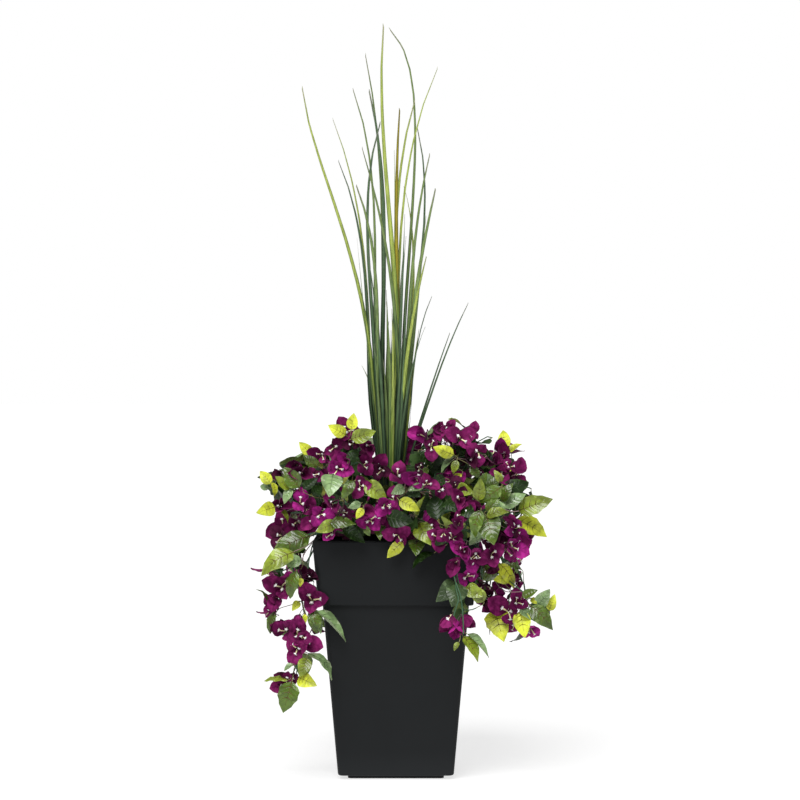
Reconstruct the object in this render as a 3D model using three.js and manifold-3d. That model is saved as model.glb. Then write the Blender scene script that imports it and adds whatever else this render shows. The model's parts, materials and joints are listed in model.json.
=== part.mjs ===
// A tall artificial planter: a bougainvillea bush with a clump of tall grass in a tapered square tub.
// Millimetres, +Z up. The origin is the middle of the tub's flat foot, and -Y is the front.
import * as THREE from "three";
import { mergeVertices } from "three/addons/utils/BufferGeometryUtils.js";
import Module from "manifold-3d";

const { lerp } = THREE.MathUtils;
const wasm = await Module();
wasm.setup();

// ---------------------------------------------------------------- driving dimensions

const tub = {
  height: 508,
  footHeight: 8,
  footHalf: 102, // half widths are measured across the flats
  baseHalf: 122.5,
  wallTopHalf: 154, // where the wall meets the band
  bandBottomHalf: 163,
  bandTopHalf: 175.5,
  bandHeight: 137,
  edgeRound: 5,
  cornerRadius: 14,
  lipWidth: 13,
  lipDepth: 9,
  wall: 5,
  floor: 14, // thickness over the foot
};

const fill = { top: 470, bevel: 10 };

const seat = 0.4; // clearance between two solids that touch
const foliageGap = 0.7; // clearance between two masses of foliage

// The grass clump: an uneven bundle, narrow at the foot, that the single blades grow out of.
const tuft = {
  centre: [-14, 12],
  top: 840,
  footHalf: [27, 23],
  topHalf: [49, 40],
  ribs: 11,
  ribShare: 0.07,
  twist: 0.25, // radians from foot to top
  levels: 6,
};

// One entry for each blade: where it leaves the bundle, its tip, and how far it leans at each (degrees, + to
// the right). layer is its place from front to back. A blade with a foot leaves the bundle's side at that
// height, and tipReach is the length of the bend at the tip.
const blades = [
  { layer: 4, rootX: -49, tipX: -202, tipZ: 1477, rootLean: -2, tipLean: -5, width: 8, tipReach: 150 },
  { layer: 15, rootX: -55, tipX: -139, tipZ: 1420, rootLean: -1, tipLean: -22, width: 7 },
  { layer: 8, rootX: -57, tipX: -125, tipZ: 1322, rootLean: -1, tipLean: -24, width: 8 },
  { layer: 18, rootX: -47, tipX: -96, tipZ: 1489, rootLean: -1, tipLean: -20, width: 8 },
  { layer: 12, rootX: -27, tipX: -67, tipZ: 1558, rootLean: 0, tipLean: -12, width: 9 },
  { layer: 10, rootX: -31, tipX: -59, tipZ: 1477, rootLean: 1, tipLean: -14, width: 10 },
  { layer: 6, rootX: 8, tipX: -27, tipZ: 1614, rootLean: -1, tipLean: 5, width: 11 },
  { layer: 17, rootX: 13, tipX: -16, tipZ: 1620, rootLean: 1, tipLean: -50, width: 7, tipReach: 140, steps: 15 },
  { layer: 9, rootX: 2, tipX: 91, tipZ: 1525, rootLean: 0, tipLean: 25, width: 9 },
  { layer: 14, rootX: 0, tipX: 42, tipZ: 1460, rootLean: 0, tipLean: 17, width: 8 },
  { layer: 7, rootX: 7, tipX: 8, tipZ: 1433, rootLean: -1, tipLean: 4, width: 10 },
  { layer: 19, rootX: 20, tipX: 46, tipZ: 1407, rootLean: 6, tipLean: -14, width: 6 },
  { layer: 13, rootX: 20, tipX: 74, tipZ: 1341, rootLean: 3, tipLean: 14, width: 8 },
  { layer: 2, rootX: 23, tipX: 85, tipZ: 1256, rootLean: 3, tipLean: 13, width: 10 },
  { layer: 1, rootX: 15, tipX: 65, tipZ: 1110, rootLean: 6, tipLean: 15, width: 9 },
  { layer: 11, rootX: 25, tipX: 79, tipZ: 1029, rootLean: 6, tipLean: 24, width: 8, foot: 750 },
  { layer: 16, rootX: 20, tipX: 159, tipZ: 1016, rootLean: 19, tipLean: 27, width: 6, foot: 660 },
  { layer: 20, rootX: 18, tipX: 119, tipZ: 951, rootLean: 18, tipLean: 20, width: 6, foot: 660 },
  { layer: 5, rootX: -43, tipX: -33, tipZ: 1402, rootLean: -2, tipLean: 18, width: 8 },
  { layer: 3, rootX: 7, tipX: -73, tipZ: 1346, rootLean: -1, tipLean: -17, width: 9 },
  { layer: 0, rootX: -39, tipX: -85, tipZ: 1262, rootLean: 0, tipLean: -22, width: 9 },
];
const bladeForm = {
  thickness: 1.5,
  tipShare: 0.22, // width at the tip as a share of the width at the root
  steps: 8,
  sunk: 12, // how far a blade's curve starts inside the bundle before it is cut there
  layerStep: 2.5,
  depthSpread: 3.4, // how much further apart the tips are, front to back, than the roots
  rootHandle: 0.42, // lengths of the curve's handles, as shares of the blade's length
  tipHandle: 0.3,
};

// Short stems that stand in the fill, and the open heart of the bush around them.
const stems = {
  front: [22, -62],
  back: [4, 82],
};
const stemForm = {
  top: 546,
  lean: 0.1, // how far the top leans outwards, as a share of the distance from the middle
  radius: 7.6,
  flare: 4, // added to the radius at the foot
  sides: 9,
  levels: [0, 0.2, 0.5, 1],
};
const heart = { centre: [2, 8, 508], half: [118, 122, 64] };

// Each mass of foliage: its centre and its half sizes along X, Y and Z.
const masses = {
  left_shoulder_foliage: { at: [-206, -18, 604], half: [96, 104, 92] },
  right_shoulder_foliage: { at: [246, 0, 600], half: [94, 108, 106] },
  left_top_foliage: { at: [-100, -30, 690], half: [76, 76, 80] },
  right_top_foliage: { at: [124, -38, 684], half: [102, 74, 76] },
  front_left_foliage: { at: [-106, -152, 582], half: [98, 86, 78] },
  front_right_foliage: { at: [156, -160, 532], half: [102, 90, 108] },
  front_centre_foliage: { at: [24, -156, 592], half: [86, 84, 88] },
  back_left_foliage: { at: [-150, 150, 588], half: [112, 102, 100] },
  back_right_foliage: { at: [158, 154, 592], half: [112, 102, 102] },
  back_centre_foliage: { at: [2, 184, 584], half: [96, 88, 92] },
  back_top_foliage: { at: [6, 106, 676], half: [94, 72, 72] },
  left_trail_upper_foliage: { at: [-226, -112, 430], half: [56, 62, 78] },
  left_trail_lower_foliage: { at: [-208, -142, 252], half: [72, 56, 106] },
  right_trail_inner_foliage: { at: [124, -216, 344], half: [52, 38, 90] },
  right_trail_outer_foliage: { at: [268, -96, 376], half: [74, 62, 84] },
  back_left_trail_foliage: { at: [-196, 178, 398], half: [60, 60, 104] },
  back_right_trail_foliage: { at: [214, 168, 416], half: [62, 60, 96] },
};
const massForm = { detail: 2, lumps: 0.054 }; // lumps is how uneven a mass is, as a share of its size

// A crown bough rises from a stem into its mass.
const crownBoughs = {
  left_bough: { stem: "front", to: "left_shoulder_foliage" },
  right_bough: { stem: "front", to: "right_shoulder_foliage" },
  left_top_bough: { stem: "front", to: "left_top_foliage" },
  right_top_bough: { stem: "front", to: "right_top_foliage" },
  back_left_bough: { stem: "back", to: "back_left_foliage" },
  back_right_bough: { stem: "back", to: "back_right_foliage" },
};

// A trailing bough crosses the rim at over, outside the tub, and drops into its mass.
const trailingBoughs = {
  left_trail: { stem: "front", over: [-197, -102], to: "left_trail_upper_foliage" },
  right_inner_trail: { stem: "front", over: [122, -205], to: "right_trail_inner_foliage" },
  right_outer_trail: { stem: "front", over: [203, -70], to: "right_trail_outer_foliage" },
  back_left_trail: { stem: "back", over: [-168, 200], to: "back_left_trail_foliage" },
  back_right_trail: { stem: "back", over: [190, 176], to: "back_right_trail_foliage" },
};
const bough = {
  rootRadius: 5.5,
  bendRadius: 4.2, // where a trailing bough turns down outside the rim
  tipRadius: 3.4,
  sides: 6,
  steps: 6,
  crownFoot: 14, // how far under the stem's top a crown bough starts
  crownArch: 12,
  trailFoot: 38, // how far over the fill a trailing bough starts
  rimClearance: 9,
  trailArch: 22, // how far over that the bough's curve is drawn up on its way to the rim
  trailDip: 34, // how far under that it is drawn down once outside
};

// ---------------------------------------------------------------- materials

const material = (color, roughness) => new THREE.MeshStandardMaterial({ color, roughness, metalness: 0 });
const finishes = {
  tub: material(0x2a2c2e, 0.55),
  fill: material(0x3b2f22, 0.95),
  stem: material(0x2f5540, 0.6),
  grass: material(0x5b7f3c, 0.5),
  foliage: material(0x5a2a52, 0.8),
};

// ---------------------------------------------------------------- shapes

// A closed solid through rings of points that each have the same count. The first ring is the lower end.
function loft(rings) {
  const count = rings[0].length;
  const positions = rings.flat().flatMap((p) => [p.x, p.y, p.z]);
  const middle = (ring) => ring.reduce((sum, p) => sum.add(p), new THREE.Vector3()).divideScalar(count);
  const bottom = rings.length * count;
  const top = bottom + 1;
  for (const p of [middle(rings[0]), middle(rings.at(-1))]) positions.push(p.x, p.y, p.z);
  const index = [];
  for (let i = 0; i < count; i++) {
    const next = (i + 1) % count;
    index.push(bottom, next, i);
    index.push(top, (rings.length - 1) * count + i, (rings.length - 1) * count + next);
    for (let r = 0; r + 1 < rings.length; r++) {
      const low = r * count;
      const high = low + count;
      index.push(low + i, low + next, high + next, low + i, high + next, high + i);
    }
  }
  const geometry = new THREE.BufferGeometry();
  geometry.setAttribute("position", new THREE.Float32BufferAttribute(positions, 3));
  geometry.setIndex(index);
  return geometry;
}

// A ring of a square with round corners, level at height z.
function squareRing(half, radius, z, cornerSteps = 3) {
  const ring = [];
  for (let corner = 0; corner < 4; corner++) {
    for (let step = 0; step <= cornerSteps; step++) {
      const angle = ((corner + step / cornerSteps) * Math.PI) / 2;
      const centreAngle = ((corner + 0.5) * Math.PI) / 2;
      const x = Math.sign(Math.cos(centreAngle)) * (half - radius) + radius * Math.cos(angle);
      const y = Math.sign(Math.sin(centreAngle)) * (half - radius) + radius * Math.sin(angle);
      ring.push(new THREE.Vector3(x, y, z));
    }
  }
  return ring;
}

// A level ring of points round a centre. halvesAt gives point i's half widths along X and Y.
function levelRing([x, y], z, count, halvesAt, turn = 0) {
  return Array.from({ length: count }, (_, i) => {
    const angle = (i / count) * 2 * Math.PI + turn;
    const [halfX, halfY] = halvesAt(i);
    return new THREE.Vector3(x + halfX * Math.cos(angle), y + halfY * Math.sin(angle), z);
  });
}

// A round limb along a curve. radiusAt gives the radius at a share of the way.
function limb(curve, steps, sides, radiusAt) {
  const frames = curve.computeFrenetFrames(steps, false);
  const rings = [];
  for (let s = 0; s <= steps; s++) {
    const centre = curve.getPointAt(s / steps);
    const radius = radiusAt(s / steps);
    const ring = [];
    for (let i = 0; i < sides; i++) {
      const angle = (i / sides) * 2 * Math.PI;
      const along = frames.normals[s].clone().multiplyScalar(Math.cos(angle));
      const across = frames.binormals[s].clone().multiplyScalar(Math.sin(angle));
      ring.push(centre.clone().addScaledVector(along.add(across), radius));
    }
    rings.push(ring);
  }
  return loft(rings);
}

// ---------------------------------------------------------------- joining and cutting

function toSolid(geometry) {
  const bare = new THREE.BufferGeometry().setAttribute("position", geometry.getAttribute("position"));
  bare.setIndex(geometry.index);
  const merged = mergeVertices(bare, 1e-3);
  return new wasm.Manifold(
    new wasm.Mesh({
      numProp: 3,
      vertProperties: new Float32Array(merged.attributes.position.array),
      triVerts: new Uint32Array(merged.index.array),
    }),
  );
}

function toGeometry(solid) {
  const mesh = solid.getMesh();
  const geometry = new THREE.BufferGeometry();
  geometry.setAttribute("position", new THREE.BufferAttribute(mesh.vertProperties.slice(), 3));
  geometry.setIndex(new THREE.BufferAttribute(mesh.triVerts.slice(), 1));
  return geometry;
}

// What is left of a solid once others are cut away: its largest piece.
function cut(solid, others) {
  const left = others.reduce((rest, other) => rest.subtract(other), solid).decompose();
  return left.reduce((best, piece) => (piece.volume() > best.volume() ? piece : best));
}

// ---------------------------------------------------------------- the tub and its fill

const bandBottom = tub.height - tub.bandHeight;
const innerTopHalf = tub.bandTopHalf - tub.lipWidth;
const innerBaseHalf = tub.baseHalf - tub.wall;

// Half width of the tub's inner wall at a height.
function innerHalf(z) {
  const share = (z - tub.floor) / (tub.height - tub.lipDepth - tub.floor);
  return lerp(innerBaseHalf, innerTopHalf, share);
}

// The outside from the foot to the rim as [half width, height] pairs, standing out by grow.
function outerProfile(grow) {
  const round = tub.edgeRound;
  return [
    [tub.footHalf, 0],
    [tub.footHalf, tub.footHeight],
    [tub.baseHalf - round, tub.footHeight],
    [tub.baseHalf - round * 0.3, tub.footHeight + round * 0.3],
    [tub.baseHalf, tub.footHeight + round],
    [tub.wallTopHalf, bandBottom],
    [tub.bandBottomHalf - round * 0.6, bandBottom],
    [tub.bandBottomHalf, bandBottom + round * 0.6],
    [tub.bandTopHalf, tub.height - round],
    [tub.bandTopHalf - round * 0.3, tub.height - round * 0.3],
    [tub.bandTopHalf - round, tub.height],
  ].map(([half, z], i, all) => [half + grow, z + (i === all.length - 1 ? grow : 0)]);
}

function buildTub() {
  const outside = outerProfile(0).map(([half, z]) => squareRing(half, tub.cornerRadius, z));
  const insideProfile = [
    [innerTopHalf + 2, tub.height],
    [innerTopHalf, tub.height - 2],
    [innerTopHalf, tub.height - tub.lipDepth],
    [innerBaseHalf, tub.floor],
  ];
  const inside = insideProfile.map(([half, z]) => squareRing(half, tub.cornerRadius - tub.wall, z));
  return loft([...outside, ...inside]);
}

function buildFill() {
  const low = tub.floor + seat;
  const high = fill.top - fill.bevel;
  const radius = tub.cornerRadius - tub.wall;
  return loft([
    squareRing(innerHalf(low) - seat, radius, low),
    squareRing(innerHalf(high) - seat, radius, high),
    squareRing(innerHalf(fill.top) - fill.bevel, radius, fill.top),
  ]);
}

// ---------------------------------------------------------------- the grass

function buildTuft(grow) {
  const rings = [];
  for (let level = 0; level <= tuft.levels; level++) {
    const share = level / tuft.levels;
    const z = lerp(fill.top + seat - grow, tuft.top + grow, share);
    const halves = [0, 1].map((axis) => lerp(tuft.footHalf[axis], tuft.topHalf[axis], Math.sqrt(share)));
    const ribbed = (i) => {
      const rib = 1 + (i % 2 ? tuft.ribShare : -tuft.ribShare);
      return halves.map((half) => half * rib + grow);
    };
    rings.push(levelRing(tuft.centre, z, tuft.ribs * 2, ribbed, share * tuft.twist));
  }
  return loft(rings);
}

function bladeCurve(blade) {
  const layer = (blade.layer - (blades.length - 1) / 2) * bladeForm.layerStep;
  const rootY = tuft.centre[1] + layer;
  const tipY = tuft.centre[1] + layer * bladeForm.depthSpread;
  const root = new THREE.Vector3(blade.rootX, rootY, (blade.foot ?? tuft.top) - bladeForm.sunk);
  const tip = new THREE.Vector3(blade.tipX, tipY, blade.tipZ);
  const length = root.distanceTo(tip);
  const lean = (degrees) => {
    const angle = THREE.MathUtils.degToRad(degrees);
    return new THREE.Vector3(Math.sin(angle), 0, Math.cos(angle));
  };
  const tipReach = blade.tipReach ?? length * bladeForm.tipHandle;
  const rootHandle = root.clone().addScaledVector(lean(blade.rootLean), length * bladeForm.rootHandle);
  const tipHandle = tip.clone().addScaledVector(lean(blade.tipLean), -tipReach);
  rootHandle.y = lerp(rootY, tipY, 1 / 3);
  tipHandle.y = lerp(rootY, tipY, 2 / 3);
  return new THREE.CubicBezierCurve3(root, rootHandle, tipHandle, tip);
}

// A blade is flat and faces the front, with a thin lens of a section. grow makes a cutter of it.
function buildBlade(blade, grow = 0) {
  const curve = bladeCurve(blade);
  const steps = blade.steps ?? bladeForm.steps;
  const rings = [];
  for (let s = 0; s <= steps; s++) {
    const share = s / steps;
    const centre = curve.getPointAt(share);
    const along = curve.getTangentAt(share);
    const across = new THREE.Vector3(along.z, 0, -along.x).normalize();
    const through = new THREE.Vector3().crossVectors(along, across);
    const taper = Math.sqrt(lerp(1, bladeForm.tipShare ** 2, share));
    const halfWidth = (blade.width * taper) / 2 + grow;
    const halfThickness = (bladeForm.thickness * lerp(0.5, 1, taper)) / 2 + grow;
    rings.push([
      centre.clone().addScaledVector(across, halfWidth),
      centre.clone().addScaledVector(through, halfThickness),
      centre.clone().addScaledVector(across, -halfWidth),
      centre.clone().addScaledVector(through, -halfThickness),
    ]);
  }
  return loft(rings);
}

// ---------------------------------------------------------------- the bush

// A stem is cut level at its foot, flares a little there, and leans outwards.
function buildStem(at, grow) {
  const rings = stemForm.levels.map((share) => {
    const z = lerp(fill.top + seat - grow, stemForm.top + grow, share);
    const radius = stemForm.radius + stemForm.flare * (1 - share) ** 3 + grow;
    const centre = at.map((middle) => middle * (1 + stemForm.lean * share));
    return levelRing(centre, z, stemForm.sides, () => [radius, radius]);
  });
  return loft(rings);
}

// An ellipsoid with smooth lumps. order gives each mass its own.
function buildMass(mass, order, grow) {
  const geometry = new THREE.IcosahedronGeometry(1, massForm.detail);
  const position = geometry.getAttribute("position");
  const point = new THREE.Vector3();
  for (let i = 0; i < position.count; i++) {
    point.fromBufferAttribute(position, i);
    const around = Math.atan2(point.y, point.x);
    const flat = point.x ** 2 + point.y ** 2;
    const wave =
      Math.sin(3 * around + order * 1.7) * flat +
      Math.sin(5 * point.z + order * 2.9) * 0.7 +
      Math.sin(5 * around + 3 * point.z + order * 0.6) * flat * 0.6;
    const reach = 1 + massForm.lumps * wave;
    const place = (unit, axis) => mass.at[axis] + unit * (mass.half[axis] * reach + grow);
    position.setXYZ(i, ...[point.x, point.y, point.z].map(place));
  }
  geometry.deleteAttribute("normal");
  geometry.deleteAttribute("uv");
  return mergeVertices(geometry, 1e-3);
}

function buildHeart(grow) {
  const geometry = new THREE.SphereGeometry(1, 16, 10);
  geometry.scale(...heart.half.map((half) => half + grow));
  geometry.translate(...heart.centre);
  return geometry;
}

// A point in the middle of a leaning stem at height z.
function stemPoint(name, z) {
  const share = (z - fill.top) / (stemForm.top - fill.top);
  const [x, y] = stems[name].map((middle) => middle * (1 + stemForm.lean * share));
  return new THREE.Vector3(x, y, z);
}

function crownCurve({ stem, to }) {
  const start = stemPoint(stem, stemForm.top - bough.crownFoot);
  const end = new THREE.Vector3(...masses[to].at);
  const bend = start.clone().lerp(end, 0.45);
  bend.z += bough.crownArch;
  return new THREE.QuadraticBezierCurve3(start, bend, end);
}

// The stretch from the stem to just past the rim, and the stretch that drops from there.
function trailCurves({ stem, over, to }) {
  const crest = tub.height + bough.rimClearance;
  const start = stemPoint(stem, fill.top + bough.trailFoot);
  const edge = new THREE.Vector3(...over, crest - bough.bendRadius);
  const middle = start.clone().lerp(edge, 0.6).setZ(crest + bough.trailArch);
  const end = new THREE.Vector3(...masses[to].at);
  const shoulder = new THREE.Vector3(over[0] * 1.07, over[1] * 1.04, crest - bough.trailDip);
  const bend = edge.clone().lerp(shoulder, 0.06);
  return {
    over: new THREE.QuadraticBezierCurve3(start, middle, edge),
    drop: new THREE.QuadraticBezierCurve3(bend, shoulder, end),
  };
}

// A round limb along a curve that tapers from one radius to another.
function buildBough(curve, from, to, grow) {
  return limb(curve, bough.steps, bough.sides, (share) => lerp(from, to, share) + grow);
}

// ---------------------------------------------------------------- the assembly

const planter = new THREE.Group();

function add(name, geometry, finish) {
  const mesh = new THREE.Mesh(geometry, finish);
  mesh.name = name;
  planter.add(mesh);
}

add("tub", buildTub(), finishes.tub);
add("planting_fill", buildFill(), finishes.fill);
add("grass_tuft", buildTuft(0), finishes.grass);

const tubRings = outerProfile(foliageGap).map(([half, z]) => squareRing(half, tub.cornerRadius, z));
const tubCutter = toSolid(loft(tubRings));
const tuftCutter = toSolid(buildTuft(seat));

blades.forEach((blade, i) => {
  const solid = cut(toSolid(buildBlade(blade)), [tuftCutter]);
  add(`grass_blade_${String(i + 1).padStart(2, "0")}`, toGeometry(solid), finishes.grass);
});
const sideBlades = blades.filter((blade) => blade.foot);
const sideBladeCutters = sideBlades.map((blade) => toSolid(buildBlade(blade, foliageGap)));

const stemCutters = [];
for (const [name, at] of Object.entries(stems)) {
  add(`stem_${name}`, buildStem(at, 0), finishes.stem);
  stemCutters.push(toSolid(buildStem(at, seat)));
}

// Trailing boughs run whole, and the crown is cut round them. Their foot meets the stem.
const trailCutters = [];
const drops = {};
for (const [name, trail] of Object.entries(trailingBoughs)) {
  const curves = trailCurves(trail);
  const overRim = (grow) => toSolid(buildBough(curves.over, bough.rootRadius, bough.bendRadius, grow));
  const dropping = (grow) => toSolid(buildBough(curves.drop, bough.bendRadius, bough.tipRadius, grow));
  const solid = cut(overRim(0), [...stemCutters, ...trailCutters]);
  add(`${name}_bough_over_rim`, toGeometry(solid), finishes.stem);
  drops[name] = cut(dropping(0), [overRim(foliageGap), ...trailCutters]);
  trailCutters.push(overRim(foliageGap), dropping(foliageGap));
}

// Each mass is cut round the tub and the masses before it. One of the crown is also cut round the open heart,
// the grass and the trailing boughs.
const isTrail = (name) => name.includes("trail");
const crownCutters = [toSolid(buildHeart(0)), tuftCutter, ...sideBladeCutters, ...trailCutters];
const openHeart = toSolid(buildHeart(-foliageGap));
const grownMasses = {};
Object.entries(masses).forEach(([name, mass], order) => {
  const around = isTrail(name) ? [] : crownCutters;
  const others = [tubCutter, ...around, ...Object.values(grownMasses)];
  const solid = cut(toSolid(buildMass(mass, order, 0)), others);
  add(name, toGeometry(solid), finishes.foliage);
  grownMasses[name] = toSolid(buildMass(mass, order, foliageGap));
});

// A crown bough ends where it leaves the open heart and enters its mass.
const massCutters = Object.values(grownMasses).map((grown) => grown.subtract(openHeart));
const limbCutters = [...stemCutters, tuftCutter, ...sideBladeCutters, ...trailCutters];
for (const [name, spec] of Object.entries(crownBoughs)) {
  const crownBough = (grow) => toSolid(buildBough(crownCurve(spec), bough.rootRadius, bough.tipRadius, grow));
  add(name, toGeometry(cut(crownBough(0), [...limbCutters, ...massCutters])), finishes.stem);
  limbCutters.push(crownBough(seat));
}

// A drop ends where it enters its mass.
for (const [name, drop] of Object.entries(drops)) {
  const trailMasses = Object.keys(masses).filter(isTrail).map((mass) => grownMasses[mass]);
  add(`${name}_bough_drop`, toGeometry(cut(drop, trailMasses)), finishes.stem);
}

export default planter;
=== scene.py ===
import json
import math
import random

import bpy
import numpy as np
from mathutils import Matrix, Quaternion, Vector
from mathutils.bvhtree import BVHTree

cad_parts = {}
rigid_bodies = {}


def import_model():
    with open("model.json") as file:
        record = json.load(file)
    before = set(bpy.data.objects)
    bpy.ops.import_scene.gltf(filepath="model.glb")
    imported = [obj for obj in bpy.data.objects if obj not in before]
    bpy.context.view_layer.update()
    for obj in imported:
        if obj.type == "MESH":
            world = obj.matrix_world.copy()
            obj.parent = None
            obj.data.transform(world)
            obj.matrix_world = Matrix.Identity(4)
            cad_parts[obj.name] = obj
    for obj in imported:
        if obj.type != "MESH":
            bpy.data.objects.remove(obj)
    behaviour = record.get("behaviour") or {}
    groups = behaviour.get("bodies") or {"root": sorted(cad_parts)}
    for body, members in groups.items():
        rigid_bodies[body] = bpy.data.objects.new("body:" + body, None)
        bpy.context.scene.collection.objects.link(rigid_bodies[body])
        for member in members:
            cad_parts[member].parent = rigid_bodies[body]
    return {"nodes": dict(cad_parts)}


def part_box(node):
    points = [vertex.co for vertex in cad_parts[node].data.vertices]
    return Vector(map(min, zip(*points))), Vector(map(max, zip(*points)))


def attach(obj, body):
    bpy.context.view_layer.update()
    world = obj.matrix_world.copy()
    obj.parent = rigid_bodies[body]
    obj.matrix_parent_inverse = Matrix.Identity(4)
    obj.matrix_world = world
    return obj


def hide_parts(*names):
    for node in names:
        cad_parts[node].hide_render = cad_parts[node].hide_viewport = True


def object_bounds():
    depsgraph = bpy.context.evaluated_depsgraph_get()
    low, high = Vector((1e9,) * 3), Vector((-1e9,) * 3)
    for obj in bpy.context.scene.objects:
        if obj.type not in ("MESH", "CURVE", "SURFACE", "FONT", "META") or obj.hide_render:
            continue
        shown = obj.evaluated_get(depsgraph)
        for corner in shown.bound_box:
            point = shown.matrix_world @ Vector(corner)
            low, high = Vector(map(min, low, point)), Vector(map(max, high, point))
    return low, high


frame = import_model()
cadLow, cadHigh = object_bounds()
nodes = frame["nodes"]
scene = bpy.context.scene
up = Vector((0, 0, 1))

grassNodes = sorted(name for name in nodes if name.startswith("grass_"))
massNodes = sorted(name for name in nodes if name.endswith("_foliage"))
limbNodes = sorted(name for name in nodes if "bough" in name or name.startswith("stem_"))

# small helpers


def screenColour(red, green, blue):
    # screen values 0-255 to the linear colour that a shader takes
    def linear(value):
        value = value / 255
        return value / 12.92 if value <= 0.04045 else ((value + 0.055) / 1.055) ** 2.4

    return (linear(red), linear(green), linear(blue), 1.0)


def put(tree, kind, values=None, **settings):
    # one node, its settings first, then each input as a number or a link
    node = tree.nodes.new(kind)
    for key, value in settings.items():
        setattr(node, key, value)
    for key, value in (values or {}).items():
        if isinstance(value, bpy.types.NodeSocket):
            tree.links.new(value, node.inputs[key])
        else:
            node.inputs[key].default_value = value
    return node


def maths(tree, operation, first, second=0.0, third=0.0):
    values = {0: first, 1: second, 2: third}
    return put(tree, "ShaderNodeMath", values, operation=operation).outputs[0]


def mixColour(tree, factor, first, second):
    values = {0: factor, 6: first, 7: second}
    return put(tree, "ShaderNodeMix", values, data_type="RGBA").outputs[2]


def noiseAt(tree, place, scale, detail, roughness=0.5):
    values = {"Vector": place, "Scale": scale, "Detail": detail, "Roughness": roughness}
    return put(tree, "ShaderNodeTexNoise", values).outputs["Fac"]


def remap(tree, value, low, high, toLow=0.0, toHigh=1.0):
    values = {0: value, 1: low, 2: high, 3: toLow, 4: toHigh}
    return put(tree, "ShaderNodeMapRange", values).outputs[0]


def shaded(colour, factor, added=0.0):
    # a linear colour made darker or lighter
    return tuple(min(part * factor + added, 1.0) for part in colour[:3]) + (1.0,)


def newMaterial(name, roughness, specular):
    # with the place on the object, for its patterns
    material = bpy.data.materials.new(name)
    material.use_nodes = True
    tree = material.node_tree
    tree.nodes.clear()
    shader = put(tree, "ShaderNodeBsdfPrincipled")
    shader.inputs["Roughness"].default_value = roughness
    shader.inputs["Specular IOR Level"].default_value = specular
    output = put(tree, "ShaderNodeOutputMaterial")
    tree.links.new(shader.outputs[0], output.inputs[0])
    return material, tree, shader, put(tree, "ShaderNodeTexCoord").outputs["Object"]


def colourAndBump(tree, shader, colour, height, strength, distance):
    values = {"Strength": strength, "Distance": distance, "Height": height}
    bump = put(tree, "ShaderNodeBump", values).outputs[0]
    tree.links.new(colour, shader.inputs["Base Color"])
    tree.links.new(bump, shader.inputs["Normal"])


def addObject(name, data):
    thing = bpy.data.objects.new(name, data)
    scene.collection.objects.link(thing)
    return thing


def addPiece(name, mesh, replaced):
    piece = addObject(name, mesh)
    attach(piece, "root")
    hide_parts(*replaced)
    print(f"  {name}: {len(mesh.polygons)} faces")


def meshOf(name, verts, faces, material=None, uvs=None):
    mesh = bpy.data.meshes.new(name)
    mesh.from_pydata([tuple(v) for v in verts], [], faces)
    if uvs is not None:
        layer = mesh.uv_layers.new(name="UVMap")
        for loop in mesh.loops:
            layer.data[loop.index].uv = uvs[loop.vertex_index]
    if material:
        mesh.materials.append(material)
    mesh.shade_smooth()
    return mesh


def ringFaces(rings, count, first=0, flip=False):
    # faces between closed rings of points, and a cap at each end
    faces = []
    for i in range(rings - 1):
        for k in range(count):
            a, b = first + i * count + k, first + i * count + (k + 1) % count
            faces.append((a, a + count, b + count, b) if flip else (a, b, b + count, a + count))
    last = first + (rings - 1) * count
    caps = (range(first, first + count), range(last, last + count))
    for cap, turned in zip(caps, (not flip, flip)):
        faces.append(tuple(reversed(cap)) if turned else tuple(cap))
    return faces


def nodeArrays(name):
    # a frame node's points and triangles, read only
    mesh = nodes[name].data
    mesh.calc_loop_triangles()
    points = np.empty(len(mesh.vertices) * 3, np.float32)
    mesh.vertices.foreach_get("co", points)
    corners = np.empty(len(mesh.loop_triangles) * 3, np.int32)
    mesh.loop_triangles.foreach_get("vertices", corners)
    return points.reshape(-1, 3).astype(float), corners.reshape(-1, 3)


endShare = 0.01      # of a node's length, left out at both ends of its middle line
tipShare = 0.3       # of the last half width, at a crowded end


def centreline(name, count, along=None, crowd=1.0):
    # middles and half widths of slices through a long node, closer together towards its
    # far end where crowd is over 1
    points, corners = nodeArrays(name)
    if along is None:
        along = np.linalg.svd(points - points.mean(0), full_matrices=False)[2][0]
    height = points @ np.array(along, float)
    low, high = height.min(), height.max()
    edge = endShare * (high - low)
    middles, halves = [], []
    for share in np.linspace(0, 1, count):
        level = low + edge + (high - low - 2 * edge) * (1 - (1 - share) ** crowd)
        cuts = []
        for first, second in ((0, 1), (1, 2), (2, 0)):
            a, b = corners[:, first], corners[:, second]
            crossing = (height[a] - level) * (height[b] - level) < 0
            a, b = a[crossing], b[crossing]
            share = ((level - height[a]) / (height[b] - height[a]))[:, None]
            cuts.append(points[a] + share * (points[b] - points[a]))
        cut = np.concatenate(cuts)
        middles.append(Vector((cut.min(0) + cut.max(0)) / 2))
        halves.append(float(np.linalg.norm(cut.max(0) - cut.min(0)) / 2))
    if crowd > 1:
        middles.append(Vector(points[int(np.argmax(height))]))
        halves.append(halves[-1] * tipShare)
    return middles, halves


def hermite(start, end, leave, arrive, count):
    # a smooth course between two points with the given end directions
    result = []
    for i in range(count):
        t = i / (count - 1)
        t2, t3 = t * t, t * t * t
        result.append(
            start * (2 * t3 - 3 * t2 + 1) + leave * (t3 - 2 * t2 + t)
            + end * (3 * t2 - 2 * t3) + arrive * (t3 - t2)
        )
    return result


def square(direction, side):
    # the part of side that is square to direction
    direction = direction.normalized()
    across = side - direction * side.dot(direction)
    if across.length < 1e-5:
        across = direction.orthogonal()
    return across.normalized()


def aheadAt(points, i):
    return points[min(i + 1, len(points) - 1)] - points[max(i - 1, 0)]


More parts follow.
